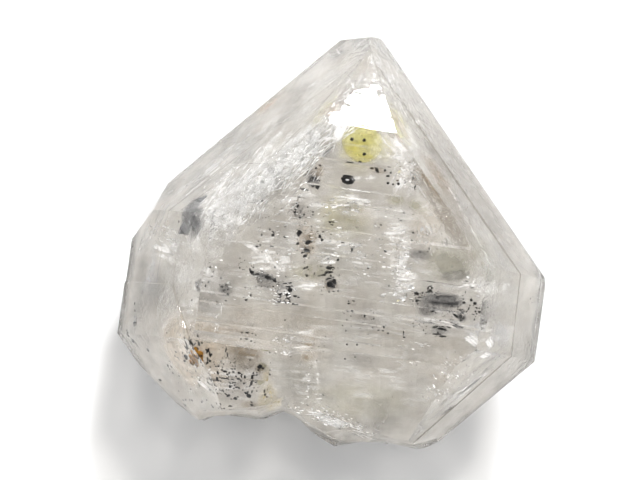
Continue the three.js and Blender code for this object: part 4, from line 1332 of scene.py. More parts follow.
# %% [markdown]
# Silver flakes: short stretches of open crack, each a thin mirror. They lie in drifts with a common direction
# but each one tilts its own way, so some catch a bright side of the room and others stay grey. Small flat
# plates with few sides are enough, because only their flash is seen. One that would reach out of the stone
# is left out.

# %% Silver flakes
FLAKES = [
    # across, along, half lengths of the oval, turn, depth, count, flake length, flake width, tilt
    (-1.6, 4.9, 3.2, 0.9, 49, 2.0, 60, 0.22, 0.07, 30),
    (-3.8, 3.1, 2.6, 1.0, 52, 2.0, 70, 0.2, 0.07, 30),
    (-2.2, 2.4, 2.0, 0.7, 50, 2.2, 40, 0.5, 0.05, 18),
    (-5.95, 0.63, 1.3, 1.1, 60, 2.0, 130, 0.35, 0.05, 22),
    (1.98, -9.2, 1.8, 0.3, -12, 0.6, 80, 0.35, 0.06, 25),
    (-4.6, 1.0, 2.0, 1.2, 60, 2.0, 60, 0.3, 0.05, 20),
    (-6.0, 2.7, 1.4, 0.7, 35, 2.3, 120, 0.16, 0.09, 30),
    (-5.2, 1.0, 1.2, 1.2, 60, 2.6, 70, 0.2, 0.08, 28),
    (-8.0, -0.9, 1.6, 0.5, -14, 1.6, 60, 0.36, 0.06, 22),
    (-6.6, -1.3, 1.0, 0.9, -10, 2.4, 40, 0.2, 0.07, 25),
    (3.7, -0.6, 0.5, 2.0, 6, 3.0, 110, 0.3, 0.08, 26),
    (4.0, -2.0, 0.6, 0.6, 20, 3.0, 40, 0.3, 0.08, 26),
    (3.9, 4.5, 1.2, 0.9, 8, 2.6, 110, 0.18, 0.09, 30),
    (2.6, 8.0, 0.5, 1.5, 60, 0.7, 70, 0.16, 0.09, 36),
    (4.8, 1.3, 0.3, 0.6, -58, 2.6, 24, 0.3, 0.07, 24),
    (6.9, 1.6, 0.3, 2.6, -52, 1.0, 50, 0.34, 0.05, 22),
    (0.6, 2.1, 1.4, 0.4, 8, 2.6, 46, 0.34, 0.08, 26),
    (-0.2, -0.9, 0.5, 0.4, 8, 3.0, 30, 0.26, 0.05, 26),
    (1.0, 0.1, 0.8, 0.3, 8, 3.0, 24, 0.3, 0.05, 24),
    (-1.7, -5.3, 0.6, 0.2, 8, 3.4, 22, 0.26, 0.08, 26),
    (8.0, -1.0, 0.9, 0.3, -6, 2.4, 34, 0.26, 0.1, 28),
    (9.3, -0.8, 0.3, 0.6, 0, 1.4, 16, 0.14, 0.08, 28),
    (-6.0, -8.2, 0.6, 0.5, 30, 1.2, 24, 0.2, 0.08, 28),
    (-3.0, -1.3, 1.2, 0.9, 8, 3.0, 60, 0.2, 0.08, 28),
    (-2.4, -3.0, 0.6, 0.5, 8, 3.1, 30, 0.16, 0.08, 28),
    (-5.3, -5.0, 0.1, 0.8, 4, 2.6, 14, 0.14, 0.08, 24),
    (-0.2, -7.3, 0.1, 1.0, 4, 2.6, 18, 0.14, 0.08, 24),
    (5.0, -4.6, 0.9, 0.3, 8, 3.2, 16, 0.26, 0.05, 24),
    (7.4, -6.2, 0.4, 1.6, -42, 1.6, 50, 0.26, 0.08, 26),
    (1.0, -8.9, 1.9, 0.5, -12, 1.2, 80, 0.26, 0.1, 34),
]
STREWN_SPREAD = 0.35
LONGER_SHORTER = (0.4, 1.1)
WIDER_NARROWER = (0.5, 1.2)
TURN_SPREAD = 14
LEAST_COVER = 0.04


def strewn(rows):
    """Points for flakes and threads, thrown at random inside ovals and laid along each oval."""
    points = []
    for middle_x, middle_y, half_x, half_y, turn, depth, count, length, width, tilt in rows:
        for _ in range(count):
            x, y = in_oval(middle_x, middle_y, half_x, half_y, turn)
            place = seen_at(x, y, depth + random.gauss(0, STREWN_SPREAD))
            if place is None:
                continue
            long = length * random.uniform(*LONGER_SHORTER)
            wide = width * random.uniform(*WIDER_NARROWER)
            half = Vector((long, wide, 1)) * MM / 2
            lean = math.radians(tilt)
            set_to = (
                random.gauss(0, lean),
                random.gauss(0, lean),
                math.radians(turn + random.gauss(0, TURN_SPREAD)),
            )
            end = Euler(set_to).to_matrix() @ Vector((half.x, 0, 0))
            if min(depth_of(place + end), depth_of(place - end)) > LEAST_COVER:
                points.append((place, half, set_to, WHITE))
    return points


random.seed(13)
flakes = scatter("silver_flakes", strewn(FLAKES), "flake", sparkle, Fineness=6, Roughen=0.0)

# %% [markdown]
# White threads are painted glints: the edges of open cracks and etched grooves throw light back as thin
# white strokes, and here that light is painted as white into the threads' colour. They are longer and closer
# under the skin than the flakes, and dull, so that they stay white from every side. One short row is a
# painted highlight: the bright core that the dark bead shows.

# %% White threads: painted glints
# painted glints: white strokes set where crack edges throw light back
GLINT_THREADS = [
    # across, along, half lengths of the oval, turn, depth, count, thread length, thread width, tilt
    (2.53, 7.67, 1.5, 0.35, -57, 0.5, 60, 0.6, 0.05, 20),
    (1.16, 9.62, 1.3, 0.6, -62, 0.4, 50, 0.5, 0.05, 20),
    (-0.17, 7.87, 1.2, 0.4, 66, 0.5, 50, 0.6, 0.05, 20),
    (-1.6, 4.9, 3.3, 0.9, 49, 1.4, 170, 1.3, 0.06, 16),
    (-3.6, 3.3, 2.9, 1.0, 52, 1.4, 140, 1.0, 0.06, 18),
    (-4.6, 1.9, 1.6, 1.2, 56, 1.6, 60, 0.7, 0.06, 20),
    (-5.8, 0.9, 1.3, 1.2, 50, 1.5, 140, 0.4, 0.06, 24),
    (1.8, 8.9, 0.9, 0.5, 100, 0.5, 30, 0.5, 0.05, 20),
    (3.9, 5.6, 2.2, 0.4, -56, 0.8, 40, 0.7, 0.05, 18),
    (7.21, 1.48, 2.9, 0.08, -54, 0.5, 60, 0.6, 0.05, 14),
    (1.7, -9.25, 1.9, 0.22, -14, 0.5, 70, 0.8, 0.07, 16),
    (-3.2, 3.7, 3.0, 1.0, 52, 1.3, 60, 0.5, 0.11, 24),
    # painted highlight: this tiny white speck over the dark bead stands for its glint
    (0.33, 3.35, 0.02, 0.02, 8, 0.9, 4, 0.2, 0.1, 6),
    (-0.6, 0.6, 2.6, 1.8, 8, 2.0, 70, 0.3, 0.06, 18),
    (2.8, -0.4, 1.6, 2.2, 8, 2.0, 50, 0.28, 0.06, 18),
    (-3.0, -2.6, 2.2, 1.2, 8, 2.2, 36, 0.26, 0.06, 18),
]

threads = scatter("painted_glint_threads", strewn(GLINT_THREADS), "flake", thread, Fineness=6, Roughen=0.0)

# %% [markdown]
# The rest are sheets, and there are three ways to lay one: where it shows, leaning to the light; level, right
# through the stone; or under a flank and along it, because a steep face only shows what lies close beneath.

# %% Three ways to lay a sheet
REACH = 30.0


def leaning(turn, lean):
    """The turn in radians of a level sheet that is turned round the vertical and then tipped to the light."""
    way, tip = math.radians(turn), math.radians(lean)
    return -tip * math.cos(way), tip * math.sin(way), way


def sheet_points(rows):
    """Points for soft sheets, one to a row, each leaning by its own angle towards the light."""
    points = []
    for x, y, half_x, half_y, turn, depth, lean, strength in rows:
        place = seen_at(x, y, depth)
        if place is not None:
            points.append((place, (half_x * MM, half_y * MM, MM), leaning(turn, lean), (1, 1, 1, strength)))
    return points


def wide_points(rows):
    """Points for level sheets that reach right through the stone."""
    size = (REACH * MM, REACH * MM, MM)
    return [
        (Vector((0, 0, height * MM)), size, leaning(turn, lean), (1, 1, 1, strength))
        for height, turn, lean, strength in rows
    ]


def beneath(turn, lean, x, y, half_x, half_y, way, depth, strength, tint=(1, 1, 1)):
    """A point for a sheet that lies under a face of the crystal and runs along it."""
    normal, _ = face(turn, lean, 0)
    line = Vector((math.cos(math.radians(way)), math.sin(math.radians(way)), 0))
    line = (line - line.dot(normal) * normal).normalized()
    turned = Matrix((line, normal.cross(line), normal)).transposed().to_euler()
    return seen_at(x, y, depth), (half_x * MM, half_y * MM, MM), tuple(turned), (*tint, strength)


print("a wide sheet is", 2 * REACH, "mm across")

# %% [markdown]
# The stone's middle and foot are clouded. Three wide sheets of haze at different heights do that, the lowest
# turned across the others, and two fainter ones near the top carry the streaks of the growth lines.

# %% Haze and growth lines
HAZE = [
    # height over the table, turn, lean to the light, strength
    (4.8, 8, 0, 0.78), (2.2, 98, 3, 0.6), (7.4, 38, -4, 0.2),
]
GROWTH_LINES = [
    # height over the table, turn, lean to the light, strength
    (9.6, 0, 5, 0.3), (8.0, 3, 9, 0.4),
]

haze = scatter("haze", wide_points(HAZE), "sheet", milk_haze, Fineness=161, Roughen=0.01, Grain=400.0)
growth_lines = scatter(
    "growth_lines", wide_points(GROWTH_LINES), "sheet", growth_line, Fineness=161, Roughen=0.01, Grain=500.0
)

# %% [markdown]
# The flanks of the crystal are whiter than its middle, with fine strokes that run down them.

# %% Veils under the flanks
FLANK_VEILS = [
    # turn and lean of the face, across, along, half length, half width, way, depth, strength
    (60, RHOMB, 6.2, 3.9, 7.5, 2.4, -52, 0.75, 0.12), (60, RHOMB, 5.0, 2.6, 6.0, 1.0, -52, 1.3, 0.35),
    (300, RHOMB, -4.9, 6.0, 6.5, 2.2, 50, 0.75, 0.2), (300, RHOMB, -6.5, 3.4, 4.0, 1.4, 50, 1.3, 0.4),
    (278, BEVEL, -9.4, -1.0, 3.6, 1.6, 75, 0.75, 0.7), (300, RHOMB, -7.1, 2.5, 2.4, 1.4, 50, 0.6, 0.9),
    (60, RHOMB_LOW, 8.1, -6.0, 4.5, 1.2, 52, 0.75, 0.4),
]

flank_points = [beneath(*row) for row in FLANK_VEILS]
flank_veils = scatter("flank_veils", flank_points, "sheet", veil, Fineness=41, Roughen=0.04, Grain=900.0)

# %% [markdown]
# Healed cracks: wide veils of tiny bubbles. Each is one soft-edged sheet, crumpled a little by the tree's
# noise, and lies along a crack that once ran through the crystal.

# %% White veils
VEILS = [
    # across, along, half length, half width, turn, depth, lean to the light, strength
    (-0.49, 5.73, 0.62, 0.36, 73, 0.6, 20, 1.0), (-0.43, 5.64, 0.52, 0.31, 73, 0.8, 20, 1.0),
    (-0.37, 5.96, 0.47, 0.41, 48, 1.0, 20, 1.0), (2.89, 4.74, 0.52, 0.72, -12, 1.6, 25, 0.7),
    (4.49, 2.62, 0.31, 0.72, 28, 2.0, 25, 0.6), (0.38, -7.89, 0.31, 0.83, 8, 1.4, 25, 0.7),
    (0.02, 2.09, 0.67, 0.36, -2, 2.3, 25, 0.9), (-1.87, -1.57, 0.47, 0.36, 8, 2.4, 25, 0.8),
    (-0.46, -2.31, 0.52, 0.31, 8, 2.4, 25, 0.9), (3.83, -0.46, 0.41, 1.55, 8, 2.4, 30, 0.9),
    (0.69, 2.55, 0.72, 0.21, 2, 2.2, 25, 0.8), (-2.37, -1.33, 0.36, 0.41, 8, 2.3, 25, 0.8),
    (3.26, -3.46, 0.62, 0.26, 3, 2.5, 20, 0.6), (7.84, -1.46, 0.62, 0.31, 8, 2.0, 25, 0.9),
    (-3.67, 0.06, 0.52, 0.41, 8, 2.0, 25, 0.6), (-0.59, -6.93, 0.62, 0.83, 8, 2.6, 20, 0.9),
    (0.15, -6.67, 0.16, 1.04, 12, 2.2, 30, 1.0), (-0.90, -5.51, 0.78, 0.26, 8, 2.2, 25, 1.0),
    (1.57, -0.77, 0.72, 0.41, 3, 2.4, 25, 0.7), (0.49, 0.59, 0.52, 0.31, 8, 2.4, 25, 0.7),
    (-5.86, 0.80, 1.04, 1.14, 8, 1.4, 30, 0.8), (0.65, 3.38, 0.18, 0.13, 8, 2.4, 20, 1.0),
    (-0.05, -0.37, 0.52, 0.41, 8, 2.4, 25, 0.6), (4.27, -5.10, 0.52, 0.72, 8, 2.6, 20, 0.5),
    (-4.26, 4.26, 4.04, 1.14, 56, 2.6, 30, 0.6), (-2.45, 6.29, 2.17, 0.67, 58, 1.8, 28, 0.5),
    (-4.99, 1.29, 2.69, 1.86, 63, 2.8, 30, 0.6), (-6.40, 1.66, 1.45, 1.04, 43, 2.2, 38, 1.0),
    (-8.50, -1.66, 2.17, 0.62, -7, 1.8, 30, 1.0), (-7.69, -2.60, 1.76, 1.04, -12, 2.2, 20, 0.6),
    (0.23, 2.07, 2.38, 0.52, 8, 2.6, 38, 0.9), (-2.12, 2.47, 2.17, 0.78, 18, 2.8, 20, 0.6),
    (3.39, 0.42, 0.83, 1.86, 8, 3.0, 36, 1.0), (4.07, -1.41, 0.78, 0.78, 58, 3.0, 36, 1.0),
    (-0.03, -0.89, 0.67, 0.47, 8, 3.0, 34, 0.9), (-2.94, -1.41, 1.55, 1.14, 8, 3.3, 26, 0.8),
    (-1.80, -2.81, 0.83, 0.62, 8, 3.0, 30, 0.8), (-0.70, -2.45, 1.04, 0.36, 8, 3.2, 30, 0.8),
    (-3.10, -0.28, 1.24, 0.62, 8, 3.0, 30, 0.7), (2.35, 5.61, 1.24, 1.04, -42, 2.6, 30, 0.9),
    (4.26, 4.62, 1.24, 0.83, 68, 2.6, 26, 0.7), (5.92, 3.29, 3.93, 0.26, -49, 0.9, 24, 1.0),
    (1.59, 8.74, 2.07, 0.52, -57, 0.8, 30, 1.0), (7.13, 2.10, 2.90, 0.57, -47, 1.6, 20, 0.6),
    (8.27, -1.19, 0.88, 0.31, 18, 2.4, 38, 1.0), (9.24, -1.05, 0.47, 0.52, 8, 1.6, 30, 0.8),
    (8.77, -4.00, 0.67, 0.47, -32, 2.0, 36, 0.9), (-0.74, -5.49, 0.93, 0.31, 18, 3.2, 38, 0.8),
    (-5.60, -8.20, 0.7, 0.5, -32, 1.2, 36, 0.9), (-3.88, -8.12, 1.55, 0.88, 8, 3.6, 26, 0.3),
    (8.10, -6.34, 2.17, 0.67, 53, 1.8, 28, 0.8), (2.25, -9.30, 2.17, 0.52, -4, 1.2, 34, 1.0),
    (4.70, 1.55, 0.93, 0.21, -52, 2.6, 34, 0.9), (4.70, -0.33, 0.88, 0.47, -22, 3.0, 26, 0.6),
    (6.08, -3.07, 1.45, 0.93, 0, 3.3, 20, 0.5), (0.94, 0.03, 0.88, 0.21, 8, 3.0, 36, 0.8),
    (-5.13, -4.38, 1.24, 0.16, 98, 2.6, 34, 0.8), (0.14, -6.93, 1.66, 0.16, 98, 2.8, 30, 0.6),
    (-6.02, -2.15, 1.55, 0.47, 88, 2.6, 26, 0.8), (1.05, 2.92, 2.07, 1.04, 13, 3.2, 24, 0.5),
    (-0.67, 0.32, 2.28, 1.35, 8, 3.6, 20, 0.5),
    (3.55, -0.70, 0.47, 1.14, 8, 2.6, 36, 1.0), (0.69, 2.50, 1.55, 0.21, 0, 2.2, 38, 1.0),
    (1.02, 0.20, 1.45, 0.26, 4, 2.6, 38, 0.9), (-0.07, -1.00, 0.52, 0.41, 8, 2.6, 38, 1.0),
    (-0.93, -2.33, 1.14, 0.31, 8, 3.0, 38, 1.0), (-3.49, -1.17, 1.76, 0.67, -27, 3.0, 34, 0.9),
    (5.81, 3.27, 0.72, 0.16, -50, 0.8, 40, 1.0), (4.70, 1.55, 0.83, 0.16, -54, 2.0, 40, 1.0),
    (8.32, -1.18, 0.62, 0.26, 8, 2.0, 40, 1.0), (9.08, -1.02, 0.26, 0.47, 8, 1.6, 40, 1.0),
    (3.05, 5.45, 0.93, 0.41, -40, 2.0, 36, 1.0), (1.17, 3.56, 0.78, 0.31, 8, 2.4, 36, 1.0),
    (0.08, 4.25, 0.21, 0.52, 8, 2.4, 34, 0.8), (-0.35, 5.81, 0.52, 0.31, 53, 0.8, 40, 1.0),
    (3.15, 1.02, 0.83, 0.62, 8, 2.6, 38, 1.0), (4.15, -1.25, 0.62, 0.57, 8, 2.6, 38, 1.0),
    (-6.06, -0.43, 1.14, 0.83, 68, 2.4, 34, 0.9), (-3.70, 3.30, 1.55, 0.72, 58, 2.4, 34, 0.9),
    (1.63, 8.12, 0.83, 0.31, -42, 0.6, 36, 1.0), (0.96, 9.91, 0.26, 0.83, -2, 0.5, 36, 1.0),
]

veils = scatter("white_veils", sheet_points(VEILS), "sheet", veil, Fineness=33, Roughen=0.16, Grain=1300.0)

# %% [markdown]
# Bitumen also crept along cracks as a thin film, grey to black, with the grain of the crack in it. One film
# lies under the left side face and goes with the four-sided flake of the solid model.

# %% Dark films
FILMS = [
    # across, along, half length, half width, turn, depth, lean to the light, strength
    (6.47, -2.12, 0.88, 0.47, 8, 2.3, 20, 1.0),
    (-7.21, -0.02, 0.67, 1.04, -7, 0.9, 20, 1.0), (-7.63, 0.76, 0.47, 0.62, -12, 0.9, 20, 0.9),
    (-1.42, 3.04, 0.41, 0.52, 18, 2.2, 20, 0.7), (6.01, -2.19, 1.24, 0.36, 4, 2.4, 20, 0.9),
    (5.49, -2.63, 0.83, 0.41, 13, 2.6, 20, 0.7), (7.19, -2.81, 0.31, 0.47, 8, 2.4, 20, 0.8),
    (0.24, -2.06, 0.41, 0.47, 8, 2.6, 20, 0.8), (-5.14, -3.23, 0.47, 0.41, 8, 2.6, 20, 0.6),
    (-2.05, -2.54, 0.57, 0.26, 8, 2.6, 20, 0.5), (-3.19, -2.23, 1.04, 0.26, -10, 2.4, 20, 0.8),
    (8.10, -6.34, 1.24, 0.16, 53, 0.8, 20, 0.8), (7.11, -7.78, 0.67, 0.21, 50, 0.7, 20, 0.8),
    (-1.31, -0.34, 0.41, 0.52, 8, 2.6, 20, 0.5), (-1.77, 0.33, 0.31, 0.31, 8, 2.4, 20, 0.6),
    (6.16, -3.68, 0.72, 0.31, 3, 2.6, 20, 0.3), (1.52, -3.39, 0.26, 0.21, 8, 2.6, 20, 0.4),
    (4.60, 0.02, 0.83, 0.31, -7, 2.6, 20, 0.5), (6.39, -0.83, 0.83, 0.36, 8, 2.8, 20, 0.5),
    (-9.54, -5.37, 0.21, 0.47, 8, 0.9, 20, 0.5), (-9.65, -6.48, 0.41, 0.26, -32, 0.8, 20, 0.5),
]
FLANK_FILM = (300, PRISM, -7.2, 0.1, 1.25, 1.5, 98, 0.55, 1.0)

film_points = sheet_points(FILMS) + [beneath(*FLANK_FILM)]
films = scatter("dark_films", film_points, "sheet", dark_film, Fineness=25, Roughen=0.12, Grain=2200.0)

# %% [markdown]
# Silver cracks: the widest stretches of open crack are crumpled mirrors. Their patterns leave only ragged
# patches of them, and the folds in each patch throw back different parts of the room.

# %% Silver cracks
CRACKS = [
    # across, along, half length, half width, turn, depth, lean to the light, strength
    (-2.0, 4.6, 3.8, 0.9, 50, 2.2, 30, 1.0), (-4.2, 3.0, 2.6, 0.8, 50, 2.4, 26, 1.0),
    (-5.9, 2.7, 1.6, 0.8, 38, 2.1, 30, 1.0), (-8.0, -0.8, 1.8, 0.5, -14, 1.6, 24, 1.0),
    (3.7, -0.7, 0.6, 2.2, 6, 3.0, 30, 1.0), (4.0, 4.5, 1.2, 0.8, 8, 2.6, 28, 0.9),
    (2.5, 8.0, 0.5, 1.6, 20, 0.8, 34, 1.0), (7.9, -1.1, 1.0, 0.5, -6, 2.3, 30, 1.0),
    (1.1, -8.9, 1.9, 0.5, -12, 1.2, 34, 1.0),
]

cracks = scatter(
    "silver_cracks", sheet_points(CRACKS), "sheet", silver, Fineness=41, Roughen=0.2, Grain=2600.0, Seed=3.0
)

# %% [markdown]
# Stains: where oil and iron-bearing water crept along the cracks they left yellow, brown and grey tones. They
# are the same soft sheets with a tint of their own, and nearly level. Two faint ones below the oil drop are
# painted shadow: they lie where the drop's shadow falls and deepen it.

# %% Stains where they show
OCHRE = (0.52, 0.42, 0.16)
OLIVE = (0.40, 0.38, 0.24)
BROWN = (0.24, 0.17, 0.09)
SMOKE = (0.16, 0.15, 0.14)
ORANGE = (0.70, 0.42, 0.16)
BLUISH = (0.78, 0.79, 0.84)
TAN = (0.62, 0.55, 0.46)
STRAW = (0.85, 0.82, 0.55)
MOSS = (0.36, 0.345, 0.27)
UMBER = (0.19, 0.155, 0.11)
PEACH = (0.72, 0.5, 0.36)
GREIGE = (0.30, 0.275, 0.24)
CREAM = (0.95, 0.94, 0.82)
STAINS = [
    # across, along, half length, half width, turn, depth, tint, strength
    (-0.92, -1.65, 1.35, 0.57, 8, 3.6, OLIVE, 0.5), (-2.16, -8.41, 0.57, 1.24, 8, 4.0, OCHRE, 0.55),
    (2.57, -7.85, 3.42, 1.55, 8, 5.2, OLIVE, 0.3), (-3.64, -6.10, 1.24, 0.78, 0, 3.8, BROWN, 0.8),
    (-2.69, -6.86, 0.36, 0.31, 8, 3.4, OLIVE, 0.9), (-3.04, -8.90, 0.72, 0.36, -2, 3.0, BROWN, 0.5),
    (7.35, 0.88, 1.6, 1.3, 8, 3.4, MOSS, 0.6), (5.83, 0.14, 1.3, 0.8, 8, 3.4, MOSS, 0.4),
    (6.88, -0.60, 0.62, 0.31, -2, 3.1, SMOKE, 0.8), (0.25, -2.16, 0.47, 0.41, 8, 3.4, BROWN, 0.9),
    (-1.23, -0.17, 0.67, 0.93, 8, 3.6, BROWN, 0.55), (2.19, 6.74, 0.8, 0.24, -62, 0.65, TAN, 1.0),
    # painted shadow: the faint tan sheet at 1.50, 1.62 lies where the oil drop's shadow falls and deepens it
    (-0.96, 6.82, 0.7, 0.3, 68, 0.65, TAN, 1.0), (1.50, 1.62, 0.88, 0.72, 8, 3.6, TAN, 0.3),
    (2.97, 2.67, 0.62, 0.36, 8, 3.0, OLIVE, 0.5), (6.20, -2.11, 1.14, 0.47, 4, 3.2, SMOKE, 1.0),
    (5.40, -2.74, 0.78, 0.52, 18, 3.4, SMOKE, 0.85), (4.55, 0.01, 0.88, 0.47, 8, 3.2, SMOKE, 0.6),
    (7.14, -2.81, 0.31, 0.41, 8, 3.1, SMOKE, 0.9), (-5.15, -3.13, 0.47, 0.41, 8, 3.2, SMOKE, 0.7),
    (-3.10, -2.53, 0.78, 0.47, -17, 3.4, SMOKE, 0.55), (-7.63, 0.39, 0.47, 0.67, 8, 2.2, SMOKE, 0.7),
    (-2.03, 1.44, 0.52, 0.62, 8, 3.2, SMOKE, 0.55), (-1.44, 3.20, 0.47, 0.67, 18, 2.8, SMOKE, 0.75),
    (-9.53, -5.47, 0.31, 0.41, 8, 1.4, SMOKE, 0.6), (6.16, -3.68, 0.72, 0.41, 0, 3.3, SMOKE, 0.5),
    (6.89, -3.27, 0.52, 0.21, -32, 3.2, SMOKE, 0.5), (-4.43, 6.59, 0.78, 0.36, 50, 0.9, ORANGE, 0.5),
    (-8.68, -0.33, 0.83, 0.47, 38, 1.6, TAN, 0.45),
    (-3.60, -6.72, 1.2, 0.8, 8, 1.8, UMBER, 0.6), (-2.75, -6.95, 0.4, 0.36, 8, 1.6, UMBER, 0.8),
    (-0.42, -5.91, 0.67, 0.62, 8, 3.2, TAN, 0.5), (-0.46, -6.02, 0.36, 0.30, 8, 2.2, BROWN, 0.7),
    (-6.42, -7.12, 0.36, 0.31, 8, 2.6, ORANGE, 0.8),
    (-1.01, -4.69, 2.59, 1.55, 8, 4.4, TAN, 0.3), (4.82, 2.14, 1.35, 1.35, 8, 3.8, TAN, 0.45),
    (-3.65, -4.54, 2.07, 1.24, 8, 4.2, TAN, 0.35), (-6.95, -7.09, 1.55, 1.24, 8, 3.6, TAN, 0.35),
    (-9.13, -2.70, 1.14, 1.55, 8, 2.4, BLUISH, 0.35), (9.27, -3.51, 1.14, 0.83, 8, 2.0, BLUISH, 0.5),
    (6.45, -5.73, 2.07, 1.35, 8, 4.6, TAN, 0.25),
    (-7.09, -0.11, 0.52, 0.78, -7, 1.3, SMOKE, 0.85), (-7.53, 0.77, 0.47, 0.57, -7, 1.3, SMOKE, 0.7),
    (-1.23, 3.54, 0.41, 0.52, -22, 2.6, BROWN, 0.5), (1.83, 4.07, 0.67, 0.26, -2, 2.8, BROWN, 0.45),
    # painted shadow: the olive sheet at 1.18, 1.26 lies where the oil drop's shadow falls and deepens it
    (1.18, 1.26, 0.98, 0.98, 8, 3.4, OLIVE, 0.35), (-1.35, -0.03, 0.67, 1.35, 8, 3.4, TAN, 0.6),
    (6.44, -0.09, 1.9, 1.3, 8, 3.6, MOSS, 0.5), (6.1, -2.3, 1.3, 0.7, 8, 3.4, SMOKE, 0.7),
    (6.64, -0.74, 0.72, 0.41, 8, 3.2, SMOKE, 0.6),
    (5.17, 3.39, 0.72, 0.41, -22, 2.6, OLIVE, 0.6), (2.03, 5.25, 0.72, 0.93, 8, 3.2, STRAW, 0.5),
    (8.02, -6.45, 1.35, 0.16, 53, 1.2, SMOKE, 0.8), (7.10, -7.73, 0.72, 0.21, 50, 1.0, SMOKE, 0.8),
    (0.30, -2.10, 0.41, 0.47, 8, 3.2, SMOKE, 0.7), (-3.15, -2.17, 1.04, 0.31, -12, 3.2, SMOKE, 0.5),
    (-4.39, -5.95, 1.76, 0.52, 8, 3.8, BROWN, 0.35), (-0.65, 9.47, 1.04, 1.35, 8, 2.0, TAN, 0.35),
    (-4.39, 6.34, 1.76, 0.72, 50, 1.6, TAN, 0.4), (5.43, -2.22, 1.55, 0.72, 3, 3.4, SMOKE, 0.45),
]
STAIN_LEAN = (0.1, 0.15)

stain_points = []
for x, y, half_x, half_y, turn, depth, tint, strength in STAINS:
    place = seen_at(x, y, depth)
    if place is not None:
        set_to = (*STAIN_LEAN, math.radians(turn))
        stain_points.append((place, (half_x * MM, half_y * MM, MM), set_to, (*tint, strength)))
print("stains where they show:", len(stain_points))

# %% [markdown]
# Three more lie level at a height of their own, because they have to be behind something: a pale one behind
# the oil drop, which is painted light that stands for the bright light seen behind the drop and keeps the
# drop's yellow bright, and two stains behind the resin. The last ones lie under the flanks and tint them.

# %% Painted light behind the oil, stains behind the resin and under the flanks
PLACED_STAINS_AND_LIGHT = [
    # across, along, height over the table, half size, tint
    # the first, pale sheet is painted light behind the oil drop; the other two are stains behind the resin
    (0.85, 5.05, 7.2, 1.5, CREAM), (-6.1, -6.65, 8.2, 2.2, TAN), (-6.0, -6.6, 8.4, 2.0, TAN),
]
FLANK_STAINS = [
    # turn and lean of the face, across, along, half length, half width, way, depth, strength, tint
    (60, RHOMB, 6.11, 2.27, 3.4, 2.0, -58, 0.95, 0.6, UMBER),
    (60, RHOMB, 5.07, 4.11, 2.0, 1.2, -60, 0.8, 0.95, BROWN),
    (60, RHOMB, 6.76, 3.20, 6.0, 3.0, -54, 0.85, 0.9, GREIGE),
    (60, RHOMB, 6.39, 2.88, 1.2, 0.35, -60, 0.5, 0.9, SMOKE),
    (60, RHOMB, 2.6, 6.6, 1.4, 0.6, -62, 0.75, 1.0, TAN),
    (300, RHOMB, -1.1, 6.8, 1.1, 0.5, 62, 0.75, 1.0, TAN),
    (60, RHOMB, 6.2, 3.9, 8.0, 3.4, -52, 0.6, 0.9, GREIGE),
    (300, RHOMB, -5.2, 5.6, 6.0, 2.0, 50, 0.6, 0.45, GREIGE),
    (300, RHOMB, -4.18, 6.68, 1.0, 0.45, 50, 0.55, 0.8, PEACH),
    (300, RHOMB, -5.16, 4.76, 0.4, 0.14, 60, 0.5, 0.9, SMOKE),
    (300, RHOMB, -6.17, 4.46, 0.3, 0.2, 40, 0.5, 0.8, SMOKE),
    (60, RHOMB, 8.04, 1.91, 0.5, 0.12, -65, 0.5, 0.9, SMOKE),
    (60, RHOMB, 8.59, 0.63, 0.5, 0.3, -60, 0.5, 0.7, SMOKE),
    (60, RHOMB, 6.85, 2.58, 0.5, 0.2, -60, 0.5, 0.6, SMOKE),
    (60, RHOMB, 5.93, 2.45, 3.4, 2.2, -58, 0.6, 0.55, UMBER),
    (60, RHOMB, 4.87, 4.40, 1.6, 0.8, -62, 0.55, 0.95, BROWN),
    (60, RHOMB, 7.57, 0.44, 2.0, 1.2, -55, 0.6, 0.7, MOSS),
    (300, RHOMB, -4.2, 7.0, 2.6, 0.9, 50, 0.9, 0.7, TAN),
]

for x, y, height, half, tint in PLACED_STAINS_AND_LIGHT:
    place = Vector(((SHIFT.x / MM + x) * MM, (SHIFT.y / MM + y) * MM, height * MM))
    stain_points.append((place, (half * MM, half * MM, MM), (0, 0, 0), (*tint, 1.0)))
stain_points += [beneath(*row) for row in FLANK_STAINS]
# these sheets include the painted light behind the oil drop as well as the stains
stains = scatter("stains", stain_points, "sheet", stain, Fineness=17, Roughen=0.1, Grain=1500.0, Seed=4.0)

# %% [markdown]
# The solid model's own inclusions keep their shapes and places and get the real finishes.

# %% The inclusions of the solid model
FINISHES = {
    "oil_drop": petroleum,
    "bitumen_bead": bitumen,
    "bitumen_flake": film,
    "resin_grain": resin,
}
for name, material in FINISHES.items():
    dress(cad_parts[name], material)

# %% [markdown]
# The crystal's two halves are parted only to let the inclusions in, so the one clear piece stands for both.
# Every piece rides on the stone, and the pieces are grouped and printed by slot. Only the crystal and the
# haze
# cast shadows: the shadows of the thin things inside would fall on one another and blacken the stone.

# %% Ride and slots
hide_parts("crystal_upper", "crystal_lower")
SLOTS = {
    "quartz": (crystal, flakes, threads, haze, growth_lines, flank_veils, veils, cracks),
    "bitumen": (crumbs, dust, films),
    "resin": (resin_crumbs, stains),
}
for slot_name, made in SLOTS.items():
    for piece in made:
        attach(piece, "root")
        piece.visible_shadow = piece in (crystal, haze)
    print(slot_name, [piece.name for piece in made])

# %% [markdown]
# The stone lies on a plain white floor, a hair lower than the stone's base so that the two never share a
# plane.

# %% Floor
FLOOR_HALF = 1.5
FLOOR_DROP = 0.03 * MM

